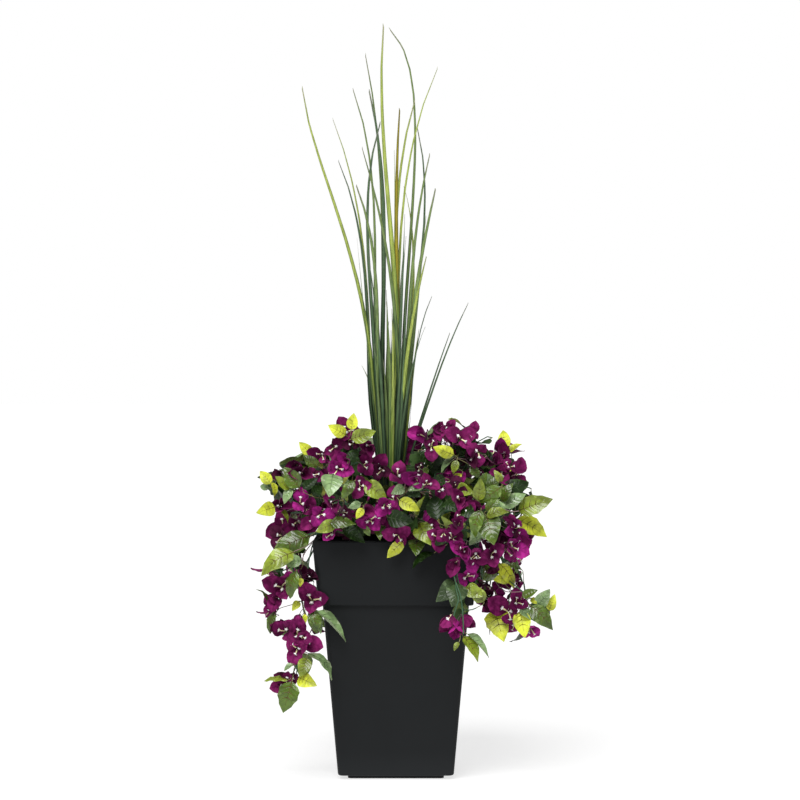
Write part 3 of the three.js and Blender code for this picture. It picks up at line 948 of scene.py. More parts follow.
bract = {
    "length": 0.0355,
    "halfWidth": 0.0150,
    "rows": 6,
    "columns": 4,
    "thickness": 0.00035,
    "leastHalf": 0.0005,
    "crease": 0.0012,        # depth of the fold down the middle
    "tuck": 0.12,            # how far a cupped edge is drawn in
    "start": 0.0015,
    "tubeFoot": (0.0022, 0.0012),
    "tubeLength": 0.0138,
    "tubeRadius": 0.0013,
    "tubeLean": (0.25, 0.95),
    "tubeCorners": 5,
    "starRadius": 0.0045,
    "starLobes": 5,
    "starWaist": 0.70,
    "starRise": (0.0008, 0.0011, 0.0014),    # of the lobes, the middle and the underside
}
flowerLooks = (
    # lean of the bracts at the foot and at the tip in degrees over level, cup, ripple, turn,
    # and for each bract its swing and lean in degrees, its size, and its floret's length
    {"foot": 56, "tip": 4, "cup": 0.40, "ripple": 0.0011, "turn": 0.0,
     "each": ((-8, -8, 1.08, 1.1), (10, 10, 0.88, 0.8), (-5, 4, 0.96, 1.3))},
    {"foot": 72, "tip": 22, "cup": 0.60, "ripple": 0.0013, "turn": 0.4,
     "each": ((8, 16, 0.92, 1.2), (-14, -12, 1.10, 0.0), (12, 2, 0.84, 1.0))},
    {"foot": 44, "tip": -12, "cup": 0.25, "ripple": 0.0014, "turn": 0.8,
     "each": ((-6, -6, 1.08, 0.9), (18, 14, 0.82, 1.3), (-14, 0, 0.98, 0.0))},
    {"foot": 82, "tip": 48, "cup": 0.85, "ripple": 0.0010, "turn": 1.3,
     "each": ((8, 6, 0.98, 0.0), (-10, -14, 1.04, 1.2), (0, 14, 0.78, 0.9))},
    {"foot": 64, "tip": -22, "cup": -0.22, "ripple": 0.0016, "turn": 0.2,
     "each": ((-12, -14, 1.05, 1.4), (16, 20, 0.80, 0.0), (4, 0, 1.0, 1.1))},
    {"foot": 50, "tip": 30, "cup": 1.15, "ripple": 0.0008, "turn": 0.6,
     "each": ((14, 24, 0.86, 0.0), (-16, -18, 1.12, 1.25), (-4, 6, 0.94, 0.0))},
    {"foot": 40, "tip": 10, "cup": 0.15, "ripple": 0.0012, "turn": 1.0,
     "each": ((-4, -10, 1.12, 1.0), (20, 26, 0.90, 1.4), (-18, 30, 0.80, 0.7))},
    # seen from behind, the bracts round as a skirt
    {"foot": 74, "tip": 62, "cup": 0.30, "ripple": 0.0010, "turn": 0.0,
     "each": ((-12, 0, 1.0, 0.0), (12, -8, 1.0, 0.0), (0, -4, 0.95, 0.9))},
)


def bractOutline(t):
    return max(math.sin(math.pi * min(t, 1.0) ** 0.86), 0.0) ** 0.66


def bractSheet(look, angle, lean, size, verts, faces, uvs):
    rows, columns = bract["rows"], bract["columns"]
    spine, reach, rise = [], bract["start"], 0.0
    for i in range(rows + 1):
        t = i / rows
        slope = math.radians(look["foot"] + lean + (look["tip"] - look["foot"]) * t ** 0.8)
        spine.append((reach, rise, slope))
        reach += size * bract["length"] / rows * math.cos(slope)
        rise += size * bract["length"] / rows * math.sin(slope)
    for upper in (True, False):
        first = len(verts)
        for i, (reach, rise, slope) in enumerate(spine):
            t = i / rows
            half = size * bract["halfWidth"] * bractOutline(t) + bract["leastHalf"]
            for k in range(columns + 1):
                s = 2 * k / columns - 1
                lift = look["cup"] * half * s * s * 0.8
                lift += (look["ripple"] * s * math.sin(11 * t + 3 * s + angle)
                         - bract["crease"] * (1 - abs(s)) * math.sin(math.pi * t))
                if 0 < i < rows and 0 < k < columns:
                    lift += bract["thickness"] * (1 if upper else -1)
                outward = reach - lift * math.sin(slope)
                level = rise + lift * math.cos(slope)
                sideways = s * half * (1 - bract["tuck"] * look["cup"] * abs(s))
                verts.append(Vector((outward * math.cos(angle) - sideways * math.sin(angle),
                                     outward * math.sin(angle) + sideways * math.cos(angle),
                                     level)))
                uvs.append((k / columns, t))
        faces.extend(sheetFaces(rows, columns, first, upper))


def addTube(verts, faces, points, radius, corners):
    first = len(verts)
    sides = sidesAlong(points, Vector((1, 0, 0)))
    for i, point in enumerate(points):
        other = aheadAt(points, i).normalized().cross(sides[i])
        for k in range(corners):
            angle = 2 * math.pi * k / corners
            verts.append(point + (sides[i] * math.cos(angle) + other * math.sin(angle)) * radius)
    faces.extend(ringFaces(len(points), corners, first))


def addStar(verts, faces, middle, ahead, radius):
    side = square(ahead, Vector((0.3, 0.8, 0.1)))
    other = ahead.cross(side)
    first = len(verts)
    count = 2 * bract["starLobes"]
    lobeRise, middleRise, underside = bract["starRise"]
    for k in range(count):
        angle = math.pi * k / bract["starLobes"]
        reach = radius * (1.0 if k % 2 == 0 else bract["starWaist"])
        verts.append(middle + (side * math.cos(angle) + other * math.sin(angle)) * reach
                     + ahead * (lobeRise if k % 2 == 0 else 0.0))
    verts.append(middle + ahead * middleRise)
    verts.append(middle - ahead * underside)
    for k in range(count):
        a, b = first + k, first + (k + 1) % count
        faces.append((a, b, first + count))
        faces.append((b, a, first + count + 1))


def makeFlowerShapes():
    bracts, tubes, stars = [], [], []
    out, above = bract["tubeFoot"]
    for number, look in enumerate(flowerLooks):
        seed = random.Random(40 + number)
        verts, faces, uvs = [], [], []
        tubeVerts, tubeFaces, starVerts, starFaces = [], [], [], []
        for k, (swing, lift, size, tube) in enumerate(look["each"]):
            angle = 2 * math.pi * k / 3 + look["turn"] + math.radians(swing)
            bractSheet(look, angle, lift, size, verts, faces, uvs)
            outward = Vector((math.cos(angle), math.sin(angle), 0))
            lean = seed.uniform(*bract["tubeLean"])
            if tube == 0:
                continue
            length = bract["tubeLength"] * tube
            foot = outward * out + up * above
            tip = foot + (up + outward * lean).normalized() * length
            bend = outward.cross(up) * seed.uniform(-0.008, 0.008)
            arrive = (tip - foot) * 0.9 + bend + outward * 0.006
            points = hermite(foot, tip, up * length, arrive, 4)
            addTube(tubeVerts, tubeFaces, points, bract["tubeRadius"], bract["tubeCorners"])
            addStar(starVerts, starFaces, tip, arrive.normalized(), bract["starRadius"])
        bracts.append(meshOf("bracts", verts, faces, uvs=uvs))
        tubes.append(meshOf("floretTubes", tubeVerts, tubeFaces))
        stars.append(meshOf("floretStars", starVerts, starFaces))
    return collect("bracts", bracts), collect("floretTubes", tubes), collect("floretStars", stars)


leafTops, leafBacks, leafRibs = makeLeafShapes()
bractShapes, tubeShapes, starShapes = makeFlowerShapes()
print("leaf and flower shapes made")

# foliage masses as guides

guides = {
    "openFrom": 0.482,      # the height over which the tub's inside is free
    "tuftShare": 0.75,      # of the tuft's box, kept clear
    "rayFrom": 4.72,        # metres from the eye
    "rayStep": 0.01,
    "raySteps": 60,
    "trailReach": 0.03,     # how near a ray has to pass to meet a trail
    "trailAhead": 0.07,     # and how far the trail has to hang before the rest
    "footRoom": 0.006,      # left between a spray's foot and the tub
    "sprayRoom": 0.016,     # how far in depth the seeded sprays may pass the masses
    "shownRoom": 0.018,     # the same for what shows from the front
}
massBoxes = {name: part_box(name) for name in massNodes}
massMiddles = {name: (low + high) / 2 for name, (low, high) in massBoxes.items()}
massHalves = {name: (high - low) / 2 for name, (low, high) in massBoxes.items()}
trailMasses = [name for name in massNodes if "trail" in name]
frontTrails = [name for name in trailMasses if not name.startswith("back")]


def guideTree(names):
    verts, faces = [], []
    for name in names:
        points, corners = nodeArrays(name)
        faces.extend((corners + len(verts)).tolist())
        verts.extend(points.tolist())
    return BVHTree.FromPolygons(verts, faces)


guide = guideTree(massNodes)
trailGuide = guideTree(frontTrails)


def depthIn(name, point):
    # under 1 inside a mass, over 1 outside it
    offset = point - massMiddles[name]
    half = massHalves[name]
    return sum((offset[i] / half[i]) ** 2 for i in range(3))


def nearestMass(point):
    return min(massNodes, key=lambda name: depthIn(name, point))


def hitsTub(point, margin=0.003):
    # in the tub's wall or beside it, but not in the open top over the fill
    if point.z > tub["height"] + margin:
        return False
    reach = max(abs(point.x), abs(point.y))
    if reach > tubHalf(max(point.z, tub["footHeight"])) + margin:
        return False
    openHalf = tub["bandTopHalf"] - tub["lipWidth"] - margin
    return not (point.z > guides["openFrom"] and reach < openHalf)


def nearGrass(point, margin=0.014):
    x = (point.x - tuftX) / (tuftHalfX * guides["tuftShare"] + margin)
    y = (point.y - tuftY) / (tuftHalfY * guides["tuftShare"] + margin)
    return x * x + y * y < 1


eye = Vector(studio["eye"])
shownSpots = []     # (x, y, reach) in the front view, which the seeded sprays keep to
shownFronts = []    # the same with depth, which they keep behind


def rayAt(px, py):
    # from the eye through a place in the front view, y forward as 1
    middle, focal = viewSize / 2, studio["viewFocal"]
    return Vector(((px - middle) / focal, 1.0, (middle - py) / focal))


def frontPlace(point):
    # x, y and depth in the front view
    depth = point.y - eye.y
    scale = studio["viewFocal"] / depth
    middle = viewSize / 2
    return middle + (point.x - eye.x) * scale, middle - (point.z - eye.z) * scale, depth


def inFrontOutline(point, spare=0.0):
    # whether a point lies behind one of the leaves or flowers that show from the front
    x, y, _ = frontPlace(point)
    return any((x - a) ** 2 + (y - b) ** 2 < (reach + spare) ** 2 for a, b, reach in shownSpots)


def coversShown(point):
    # whether a point stands before one of them
    x, y, depth = frontPlace(point)
    return any(depth < far and (x - a) ** 2 + (y - b) ** 2 < reach * reach
               for a, b, reach, far in shownFronts)


def outOfDepth(point):
    room = guides["sprayRoom"]
    return point.y > cadHigh.y + room or point.y < cadLow.y - room


nearestDepth = cadLow.y - guides["shownRoom"]


def heldBack(points):
    # how far points have to move away from the eye to stay near the bush
    return max(nearestDepth - min(point.y for point in points), 0.0)


def rimsOf(axis, side, reach):
    flare = square(axis, side) * reach
    return [Quaternion(axis, 1.57 * turn) @ flare for turn in range(4)]


def nearestPass(tree, ray):
    # where a ray passes nearest to a guide
    best = None
    for step in range(guides["raySteps"]):
        point = eye + ray * (guides["rayFrom"] + guides["rayStep"] * step)
        _, way, _, distance = tree.find_nearest(point)
        if best is None or distance < best[2]:
            best = (point, way, distance)
    return best


def surfaceAt(px, py):
    # where the ray meets the foliage guide and the way out there; a front trail that it only
    # just misses comes before what stands far behind
    ray = rayAt(px, py)
    near = guides["trailReach"]
    hit, normal, _, _ = guide.ray_cast(eye, ray.normalized())
    point, way, distance = nearestPass(trailGuide, ray)
    if hit is None and distance > near:
        point, way, _ = nearestPass(guide, ray)
    if hit is None or (distance < near and point.y < hit.y - guides["trailAhead"]):
        hit, normal = point, way
    if normal.dot(hit - massMiddles[nearestMass(hit)]) < 0:
        normal = -normal
    return hit, normal


# sprays

sprays = {
    "seed": 23,
    "spacing": 0.062,
    "innerSpacing": 0.055,
    "samples": 700,              # tried on each mass
    "innerSamples": 260,
    "innerDepth": (0.024, 0.05),
    "innerLength": (0.045, 0.062),
    "innerAspect": 0.66,
    "innerCount": 3,
    "frontSink": 0.040,
    "sink": 0.018,
    "footDepth": 0.03,
    "facesEye": 0.22,            # how squarely a place has to face the eye
    "bushDroop": -0.12,
    "trailDroop": -0.35,
    "bloomShare": 0.62,
    "sunkBloomShare": 0.25,
    "flowerCounts": (3, 3, 4, 4, 5),
    "flowerReach": (0.014, 0.030),
    "flowerStray": 0.008,
    "flowerLean": (0.2, 0.8),
    "flowerRim": 0.028,
    "toneKept": 0.75,            # share of a spray's flowers that keep its tone
    "bloomLeaves": (1, 1, 2),
    "plainLeaves": (3, 4, 4),
    "leafLift": (-0.1, 0.45),
    "leafLength": (0.044, 0.066),
    "leafAspect": 0.64,
    "leafRoom": 0.42,            # of a shown leaf's width, kept free round it
    "flowerRoom": 10.0,          # the same for a flower, in pixels
    "posedRoom": 8.0,
    "mostAway": 0.035,           # how far a leaf's ends part in depth
    "flowerSize": (0.82, 1.12),
    "groupReach": 0.042,         # neighbours that share a foot
    "groupMost": 6,
    "groupDepth": 0.034,
    "trailGroupDepth": 0.022,
    "shownShapes": (0, 0, 1, 2, 4, 4, 5, 6, 6),
    # Bright is a painted highlight and Deep a painted shade of the bract colour
    "bloomTones": ("Bright", "Mid", "Mid", "Mid", "Deep"),
    # sunk sprays take darker tones: painted shade deep in the bush
    "sunkTones": ("Mid", "Deep", "Deep"),
    "outerTints": (("Lime", "LimeMid"), ("LimeMid", "Mid"), ("Mid", "Dark"), ("Lime", "Lime"),
                   ("Dark", "Sage"), ("LimeMid", "Sage"), ("Dark", "Mid")),
    "trailTints": (("Mid", "Sage"), ("Dark", "Mid")),
    # and darker leaf tints: painted shade deep in the bush
    "sunkTints": (("Dark", "Mid"), ("Dark", "Dark"), ("Dark", "Sage")),
}
leafTints = {
    # upper side, back, which veins, roughness, gloss, and how far it stands in front
    "Lime": ((192, 200, 56), (188, 194, 92), "Brown", 0.40, 0.32, 0.020),
    "LimeMid": ((122, 138, 42), (150, 166, 84), "Brown", 0.27, 0.52, 0.016),
    "Mid": ((74, 96, 28), (110, 130, 72), "Brown", 0.24, 0.52, 0.011),
    "Dark": ((24, 44, 10), (54, 76, 38), "Pale", 0.34, 0.26, 0.003),
    "Sage": ((124, 150, 100), (150, 166, 128), "Pale", 0.22, 0.50, 0.008),
    "SageDark": ((62, 80, 48), (92, 110, 76), "Pale", 0.26, 0.40, 0.008),
}
flowerTints = {
    # colour, and how far it stands in front; Bright and Deep are lit and shaded copies of the bract
    # colour, painted highlight and painted shade
    "Bright": ((152, 24, 118), 0.008),
    "Mid": ((118, 15, 84), 0.002),
    "Deep": ((76, 8, 50), -0.008),
}
chosen = {
    "leaves": {tint: [] for tint in leafTints},
    "flowers": {tint: [] for tint in flowerTints},
}
stalks = []       # (foot, end, arrive direction, kind)
feet = []         # (place, direction)
hanging = []      # (kind, course)

# Leaves that show from the front, in the front view's pixels: foot x, foot y, tip x, tip y,
# width, and where it matters the look and how far it stands in front
shownLeaves = {
    "Lime": [
        (351, 430, 354, 413, 11.5, 0, 0.045), (346, 435, 328, 425, 13), (312, 455, 299, 442, 11),
        (271, 484, 260, 471, 11.5), (272, 482, 274, 497, 6), (275, 507, 256, 513, 15, 0, 0.10),
        (363, 508, 356, 519, 8), (399, 500, 420, 511, 13), (454, 455, 433, 447, 13),
        (505, 448, 503, 430, 13), (509, 452, 522, 444, 6), (516, 519, 547, 537, 18, 4),
        (494, 609, 504, 642, 25, 4), (520, 611, 525, 638, 18), (301, 578, 300, 587, 6),
        (299, 601, 292, 611, 8), (304, 614, 305, 624, 5), (403, 542, 387, 558, 12, 0, 0.040),
        (511, 577, 493, 580, 12), (499, 563, 515, 590, 13, 0, 0.014), (462, 474, 451, 484, 6),
        (531, 598, 537, 604, 6, 0, -0.004), (549, 611, 555, 594, 10), (298, 677, 317, 686, 16),
    ],
    "LimeMid": [
        (351, 439, 376, 431, 15), (289, 490, 275, 476, 10), (365, 482, 387, 500, 17),
        (417, 516, 425, 496, 6), (418, 523, 431, 545, 20), (457, 488, 474, 493, 14),
        (457, 460, 453, 474, 8), (518, 511, 553, 499, 20, 4), (486, 517, 509, 512, 10),
        (463, 636, 478, 662, 12), (294, 552, 261, 576, 19), (307, 658, 300, 677, 14),
        (288, 680, 264, 681, 5), (336, 522, 316, 532, 13), (280, 509, 288, 523, 5),
        (484, 602, 470, 584, 14), (502, 483, 494, 470, 8), (478, 501, 481, 478, 13),
        (466, 587, 483, 597, 15, 2, 0.016), (459, 642, 454, 651, 5, 2, 0.03),
    ],
    "Mid": [
        (318, 467, 303, 455, 11), (354, 481, 342, 499, 11), (379, 525, 380, 540, 13),
        (364, 526, 370, 536, 7), (502, 502, 513, 483, 11), (501, 487, 479, 503, 15),
        (486, 515, 494, 545, 25), (522, 597, 538, 590, 9), (313, 611, 317, 634, 14),
        (274, 612, 270, 634, 9), (269, 605, 256, 589, 4), (310, 536, 272, 553, 22),
        (292, 681, 283, 713, 21, 4, 0.034), (486, 511, 500, 499, 10), (481, 510, 475, 538, 14),
        (330, 523, 356, 524, 12), (484, 565, 491, 580, 5), (509, 565, 522, 570, 6),
        (488, 493, 498, 475, 12), (480, 487, 487, 472, 9), (296, 571, 290, 599, 13, 0, 0.014),
        (470, 466, 480, 478, 9), (299, 488, 284, 467, 17, 2), (417, 539, 416, 556, 17),
        (531, 606, 553, 630, 17, 0, 0.020),
    ],
    "Dark": [
        (387, 517, 414, 522, 18), (437, 520, 434, 495, 19), (446, 500, 456, 512, 14),
        (409, 489, 421, 497, 12), (434, 553, 412, 569, 7), (343, 529, 365, 543, 13),
        (502, 493, 529, 482, 19), (463, 507, 476, 519, 14), (349, 462, 357, 449, 12),
        (312, 495, 322, 486, 11), (418, 452, 432, 468, 9), (303, 489, 318, 478, 10),
        (445, 478, 430, 484, 12), (449, 536, 434, 546, 9), (340, 500, 326, 497, 10),
        (321, 494, 309, 508, 13, 0, -0.022), (328, 453, 339, 443, 10, 0, -0.015),
        (447, 452, 433, 466, 13, 0, -0.020),
    ],
    "Sage": [
        (333, 474, 329, 497, 22), (292, 488, 284, 504, 9), (361, 503, 348, 508, 8),
        (404, 487, 391, 494, 11), (456, 457, 441, 473, 6), (517, 561, 517, 574, 5),
        (519, 610, 536, 622, 9), (467, 634, 489, 658, 6, 2, 0.034), (302, 561, 283, 561, 13),
        (316, 611, 346, 642, 7, 2), (307, 653, 332, 680, 8, 1, 0.016), (293, 664, 284, 671, 5),
        (269, 488, 260, 486, 7), (503, 507, 526, 494, 14), (504, 512, 497, 500, 9),
        (497, 486, 482, 473, 12), (537, 607, 550, 589, 14), (424, 486, 408, 491, 8),
        (311, 612, 321, 634, 10),
    ],
    "SageDark": [
        (459, 583, 452, 607, 22, 3, -0.006), (457, 583, 436, 602, 20, 1, -0.010),
    ],
}
# Flowers that show from the front, by tone: x, y, the way that the first bract points in
# degrees anticlockwise from the right, and size
shownFlowers = {
    "Bright": [
        (300, 503, 95, 1.0), (371, 521, 180, 1.0), (416, 479, 50, 1.05), (385, 505, 350, 0.95),
        (338, 469, 0, 1.0), (347, 461, 20, 0.85), (451, 482, 40, 1.0), (499, 453, 90, 0.9),
        (424, 436, 60, 1.1), (320, 514, 0, 0.95), (517, 530, 320, 0.95), (331, 533, 92, 0.90),
        (465, 550, 45, 1.0), (471, 560, 45, 0.95), (513, 547, 340, 1.0),
    ],
    "Mid": [
        (334, 449, 60, 0.9), (321, 455, 175, 0.85), (364, 466, 80, 0.9), (376, 469, 60, 1.0),
        (390, 452, 150, 0.95), (397, 475, 90, 0.95), (304, 473, 75, 1.0), (314, 474, 0, 0.8),
        (361, 486, 240, 0.9), (393, 501, 90, 0.85), (370, 447, 40, 0.85), (405, 440, 110, 0.95),
        (403, 452, 70, 1.0), (431, 446, 280, 0.9), (440, 430, 170, 0.9), (462, 438, 165, 1.1),
        (479, 452, 275, 1.0), (497, 463, 215, 0.95), (504, 458, 350, 0.9), (501, 474, 300, 0.9),
        (427, 483, 340, 0.85), (441, 488, 10, 0.9), (460, 501, 20, 0.9), (463, 514, 50, 0.9),
        (478, 509, 30, 0.8), (366, 509, 100, 0.95), (378, 513, 300, 0.8), (398, 536, 170, 0.95),
        (432, 529, 90, 0.8), (438, 537, 280, 0.95), (443, 534, 0, 0.7), (452, 538, 320, 0.85),
        (458, 524, 150, 0.9), (463, 548, 200, 0.7), (491, 554, 45, 0.95), (506, 551, 180, 1.0),
        (515, 541, 0, 0.9), (510, 466, 0, 0.8), (282, 505, 98, 0.95), (308, 509, 330, 0.85),
        (298, 523, 200, 1.0), (314, 519, 220, 0.9), (306, 530, 300, 0.85), (476, 555, 330, 0.85),
        (473, 434, 80, 0.75), (448, 429, 60, 0.7), (334, 505, 40, 0.8), (451, 468, 330, 0.7),
    ],
    "Deep": [
        (353, 444, 200, 0.7), (313, 478, 270, 0.8), (381, 470, 0, 0.8), (455, 487, 330, 0.8),
        (469, 457, 190, 0.85), (455, 442, 200, 0.9), (512, 531, 90, 0.8), (280, 473, 120, 0.7),
        (486, 459, 250, 0.7), (344, 512, 0, 0.7), (476, 470, 210, 0.8), (419, 468, 270, 0.6),
        (484, 586, 240, 0.95), (488, 597, 280, 0.8), (497, 605, 200, 0.85), (304, 574, 240, 0.8),
        (461, 500, 75, 0.8), (486, 567, 240, 0.85),
    ],
}
# Flowers with a facing of their own: tone, x, y, first bract, size, shape, how far the face
# leans to the right, upwards and towards the eye, and how far it stands in front
posedFlowers = [
    ("Mid", 450, 620, 240, 1.25, 7, (-0.30, -0.85, 0.30)),
    ("Mid", 465, 619, 320, 1.05, 7, (0.45, -0.75, 0.25)),
    ("Bright", 456, 625, 268, 1.15, 7, (0.0, -0.85, 0.45), 0.010),
    ("Mid", 312, 600, 130, 1.25, 0, (0.0, 0.05, 1.0), 0.045),
    ("Mid", 298, 635, 100, 1.15, 0, (0.10, 0.0, 1.0)),
    ("Mid", 304, 641, 345, 1.10, 6, (0.15, -0.10, 1.0)),
    ("Mid", 297, 649, 258, 1.05, 0, (-0.05, -0.20, 0.9)),
    ("Mid", 285, 632, 170, 1.05, 4, (-0.25, -0.10, 0.8)),
    ("Deep", 283, 626, 98, 0.90, 1, (-0.10, 0.10, 0.9)),
    ("Mid", 277, 598, 150, 1.0, 1, (-0.25, 0.0, 0.8)),
    ("Mid", 273, 606, 240, 0.95, 4, (-0.35, -0.15, 0.7)),
    ("Mid", 281, 587, 168, 1.20, 0, (-0.10, -0.05, 0.9)),
    ("Mid", 267, 572, 180, 0.95, 2, (-0.15, -0.85, 0.15)),
    ("Mid", 270, 614, 188, 0.8, 2, (-0.10, -0.85, 0.10)),
    ("Deep", 305, 579, 97, 0.72, 5, (0.05, 0.25, 0.9)),
    ("Deep", 312, 577, 82, 0.62, 5, (0.25, 0.25, 0.8)),
    ("Deep", 288, 682, 160, 0.95, 0, (-0.10, 0.0, 1.0)),
    ("Mid", 286, 684, 203, 1.0, 0, (-0.10, -0.10, 1.0)),
    ("Mid", 347, 431, 128, 1.0, 0, (-0.05, 0.15, 1.0)),
    ("Mid", 296, 465, 100, 0.80, 1, (-0.20, 0.0, 1.0)),
    ("Mid", 519, 474, 60, 1.05, 2, (0.45, 0.10, -0.55)),
    ("Deep", 525, 500, 75, 0.62, 3, (0.5, 0.25, 0.5), -0.03),
    ("Mid", 283, 527, 215, 1.20, 0, (-0.30, 0.0, 0.9)),
    ("Deep", 281, 537, 248, 1.05, 4, (-0.30, -0.2, 0.8)),
    ("Mid", 511, 524, 88, 0.85, 3, (0.05, 0.80, 0.3)),
    ("Bright", 524, 543, 20, 0.85, 1, (0.45, 0.05, 0.7)),
    ("Bright", 519, 556, 305, 0.95, 4, (0.40, -0.50, 0.4)),
    ("Mid", 455, 563, 150, 0.95, 1, (-0.20, -0.10, 0.9)),
    ("Bright", 468, 576, 215, 0.9, 6, (0.25, 0.10, 0.8)),
    ("Mid", 518, 583, 20, 0.55, 1, (0.40, -0.20, 0.6)),
    ("Mid", 517, 602, 100, 0.9, 0, (0.10, 0.10, 0.9)),
    ("Mid", 508, 612, 150, 1.30, 6, (-0.05, -0.05, 1.0)),
    ("Mid", 515, 625, 250, 0.85, 4, (-0.05, -0.50, 0.6)),
    ("Bright", 531, 630, 320, 0.85, 4, (0.20, -0.45, 0.6)),
    ("Mid", 448, 430, 45, 0.6, 3, (0.60, 0.50, 0.2)),
]
# Stems that show in front of the leaves: kind, how far in front, and the course
shownStems = [
    ("stem", 0.014, ((453, 570), (454.7, 579), (458, 588), (461, 598), (463, 617), (463.5, 634))),
    ("stem", 0.014, ((455, 573), (456, 588), (458.5, 599), (456, 608), (453.6, 616))),
    ("pedicel", 0.030, ((500, 508), (505, 509.5), (512, 511.5), (519, 511))),
    ("stem", 0.016, ((507.5, 579.5), (510, 581.5), (517, 587), (523, 592))),
    ("pedicel", 0.016, ((501, 588), (506, 591.5), (514, 592), (522, 591.5))),
    ("pedicel", 0.018, ((314, 540), (308, 545), (300, 549), (290, 553))),
    ("pedicel", 0.018, ((312, 543), (306, 551), (303, 557), (302, 562))),
    ("stem", 0.010, ((314, 540), (311, 551), (308.5, 564), (308, 582))),
    ("pedicel", 0.012, ((303, 600), (296, 603.5), (287, 606), (279, 609), (274, 616))),
]


def addLeaf(tint, foot, tip, normal, width, shape):
    length = (tip - foot).length
    ahead = (tip - foot) / length
    rise = square(ahead, normal)
    side = ahead.cross(rise)
    turn = Matrix((side, ahead, rise)).transposed().to_quaternion()
    chosen["leaves"][tint].append((foot, turn, (width, length, length), shape))


def addFlower(tint, place, axis, size, shape, pointing):
    # pointing is the way that the first bract goes
    side = square(axis, pointing)
    turn = Matrix((side, axis.cross(side), axis)).transposed().to_quaternion()
    turn = turn @ Quaternion(up, -flowerLooks[shape]["turn"])
    chosen["flowers"][tint].append((place, turn, (size, size, size), shape))


def clearOfTub(points, way):
    # how far along way the points have to go to leave the tub's wall
    for step in range(30):
        shift = way * (0.004 * step)
        if not any(hitsTub(point + shift) for point in points):
            return shift
    return None


def markShownSpots():
    for rows in shownLeaves.values():
        for footX, footY, tipX, tipY, width, *_ in rows:
            for share in (0.2, 0.45, 0.7):
                shownSpots.append((footX + (tipX - footX) * share,
                                   footY + (tipY - footY) * share, width * sprays["leafRoom"]))
    for places in shownFlowers.values():
        shownSpots.extend((px, py, sprays["flowerRoom"]) for px, py, _, _ in places)
    shownSpots.extend((row[1], row[2], sprays["posedRoom"]) for row in posedFlowers)


def layShownLeaves(seed):
    made = []
    aspect = sprays["leafAspect"]
    everyLeaf = [(tint, *row) for tint, rows in shownLeaves.items() for row in rows]
    for tint, footX, footY, tipX, tipY, width, *more in everyLeaf:
        hit, _ = surfaceAt((footX + tipX) / 2, (footY + tipY) / 2)
        depth = hit.y - eye.y - (more[1] if len(more) > 1 else leafTints[tint][5])
        scale = depth / studio["viewFocal"]
        run = math.hypot(tipX - footX, tipY - footY) * scale
        wide = width * scale
        away = 0.0
        if wide / run > aspect:
            away = math.sqrt(max((wide / aspect) ** 2 - run * run, 0.0))
        # the upper face looks up to the light
        skyward = 1 if tipY > footY else -1
        away = min(away, sprays["mostAway"]) * skyward + seed.uniform(-0.005, 0.005)
        foot = eye + rayAt(footX, footY) * (depth + away / 2)
        tip = eye + rayAt(tipX, tipY) * (depth - away / 2)
        realWide = max(wide, aspect * (tip - foot).length * 0.86)
        tilt = math.acos(max(min(wide / realWide, 1.0), 0.2))
        ahead = (tip - foot).normalized()
        toEye = square(ahead, eye - hit)
        side = ahead.cross(toEye)
        side = -side if side.z < 0 else side
        facing = toEye * math.cos(tilt) + side * math.sin(tilt)
        wing = ahead.cross(facing) * realWide * 0.45
        middle = (foot + tip) / 2
        spots = [foot, tip, middle, middle + wing, middle - wing]
        shift = clearOfTub(spots, (eye - hit).normalized())
        if shift is None:
            continue
        back = heldBack([spot + shift for spot in spots])
        foot += shift + rayAt(footX, footY) * back
        tip += shift + rayAt(tipX, tipY) * back
        for share in (0.2, 0.5, 0.8):
            x, y, far = frontPlace(foot.lerp(tip, share))
            shownFronts.append((x, y, width * 0.5 + 3, far + 0.004))
        plain = seed.randrange(len(leafLooks) - 1)
        addLeaf(tint, foot, tip, facing, realWide, more[0] if more and more[0] else plain)
        made.append(("leaf", foot, ahead))
    return made


def layShownStems():
    # stems that hang in front of the leaves, each from a place inside the bush
    for kind, lift, course in shownStems:
        near = min(surfaceAt(px, py)[0].y for px, py in course[1:]) - lift
        near = max(near, nearestDepth) - eye.y
        last = len(course) - 1
        spots = [eye + rayAt(px, py) * (near + 0.05 * (1 - i / last) ** 3)
                 for i, (px, py) in enumerate(course)]
        hanging.append((kind, spots))


def layShownFlowers(seed):
    made = []
    rows = [(tone, px, py, first, size, seed.choice(sprays["shownShapes"]), None)
            for tone, places in shownFlowers.items() for px, py, first, size in places]
    for tone, px, py, first, size, shape, lean, *raised in rows + posedFlowers:
        hit, normal = surfaceAt(px, py)
        toEye = (eye - hit).normalized()
        right = square(toEye, Vector((1, 0, 0)))
        lift = flowerTints[tone][1]
        place = hit + toEye * (lift + seed.uniform(-0.004, 0.006) + sum(raised))
        loose = Vector((seed.gauss(0, 0.2), seed.gauss(0, 0.1), seed.gauss(0, 0.2)))
        axis = (toEye * 0.7 + normal * 0.4 + loose).normalized()
        if tone == "Deep":
            axis = (axis + loose * 2.0).normalized()
        if lean:
            axis = (right * lean[0] + up * lean[1] + toEye * lean[2]).normalized()
        rims = [place + axis * 0.01 + rim for rim in rimsOf(axis, right, 0.026 * size)]
        spots = [place, place + axis * 0.02, *rims]
        shift = clearOfTub(spots, toEye)
        if shift is None:
            continue
        back = heldBack([spot + shift for spot in spots])
        foot = place + shift + rayAt(px, py) * back - axis * 0.010 * size
        x, y, far = frontPlace(foot)
        shownFronts.append((x, y, 12.0 * size, far + 0.006))
        aim = math.radians(first)
        pointing = right * math.cos(aim) + up * math.sin(aim)
        addFlower(tone, foot, axis, size, shape, pointing)
        made.append(("flower", foot, axis))
    return made


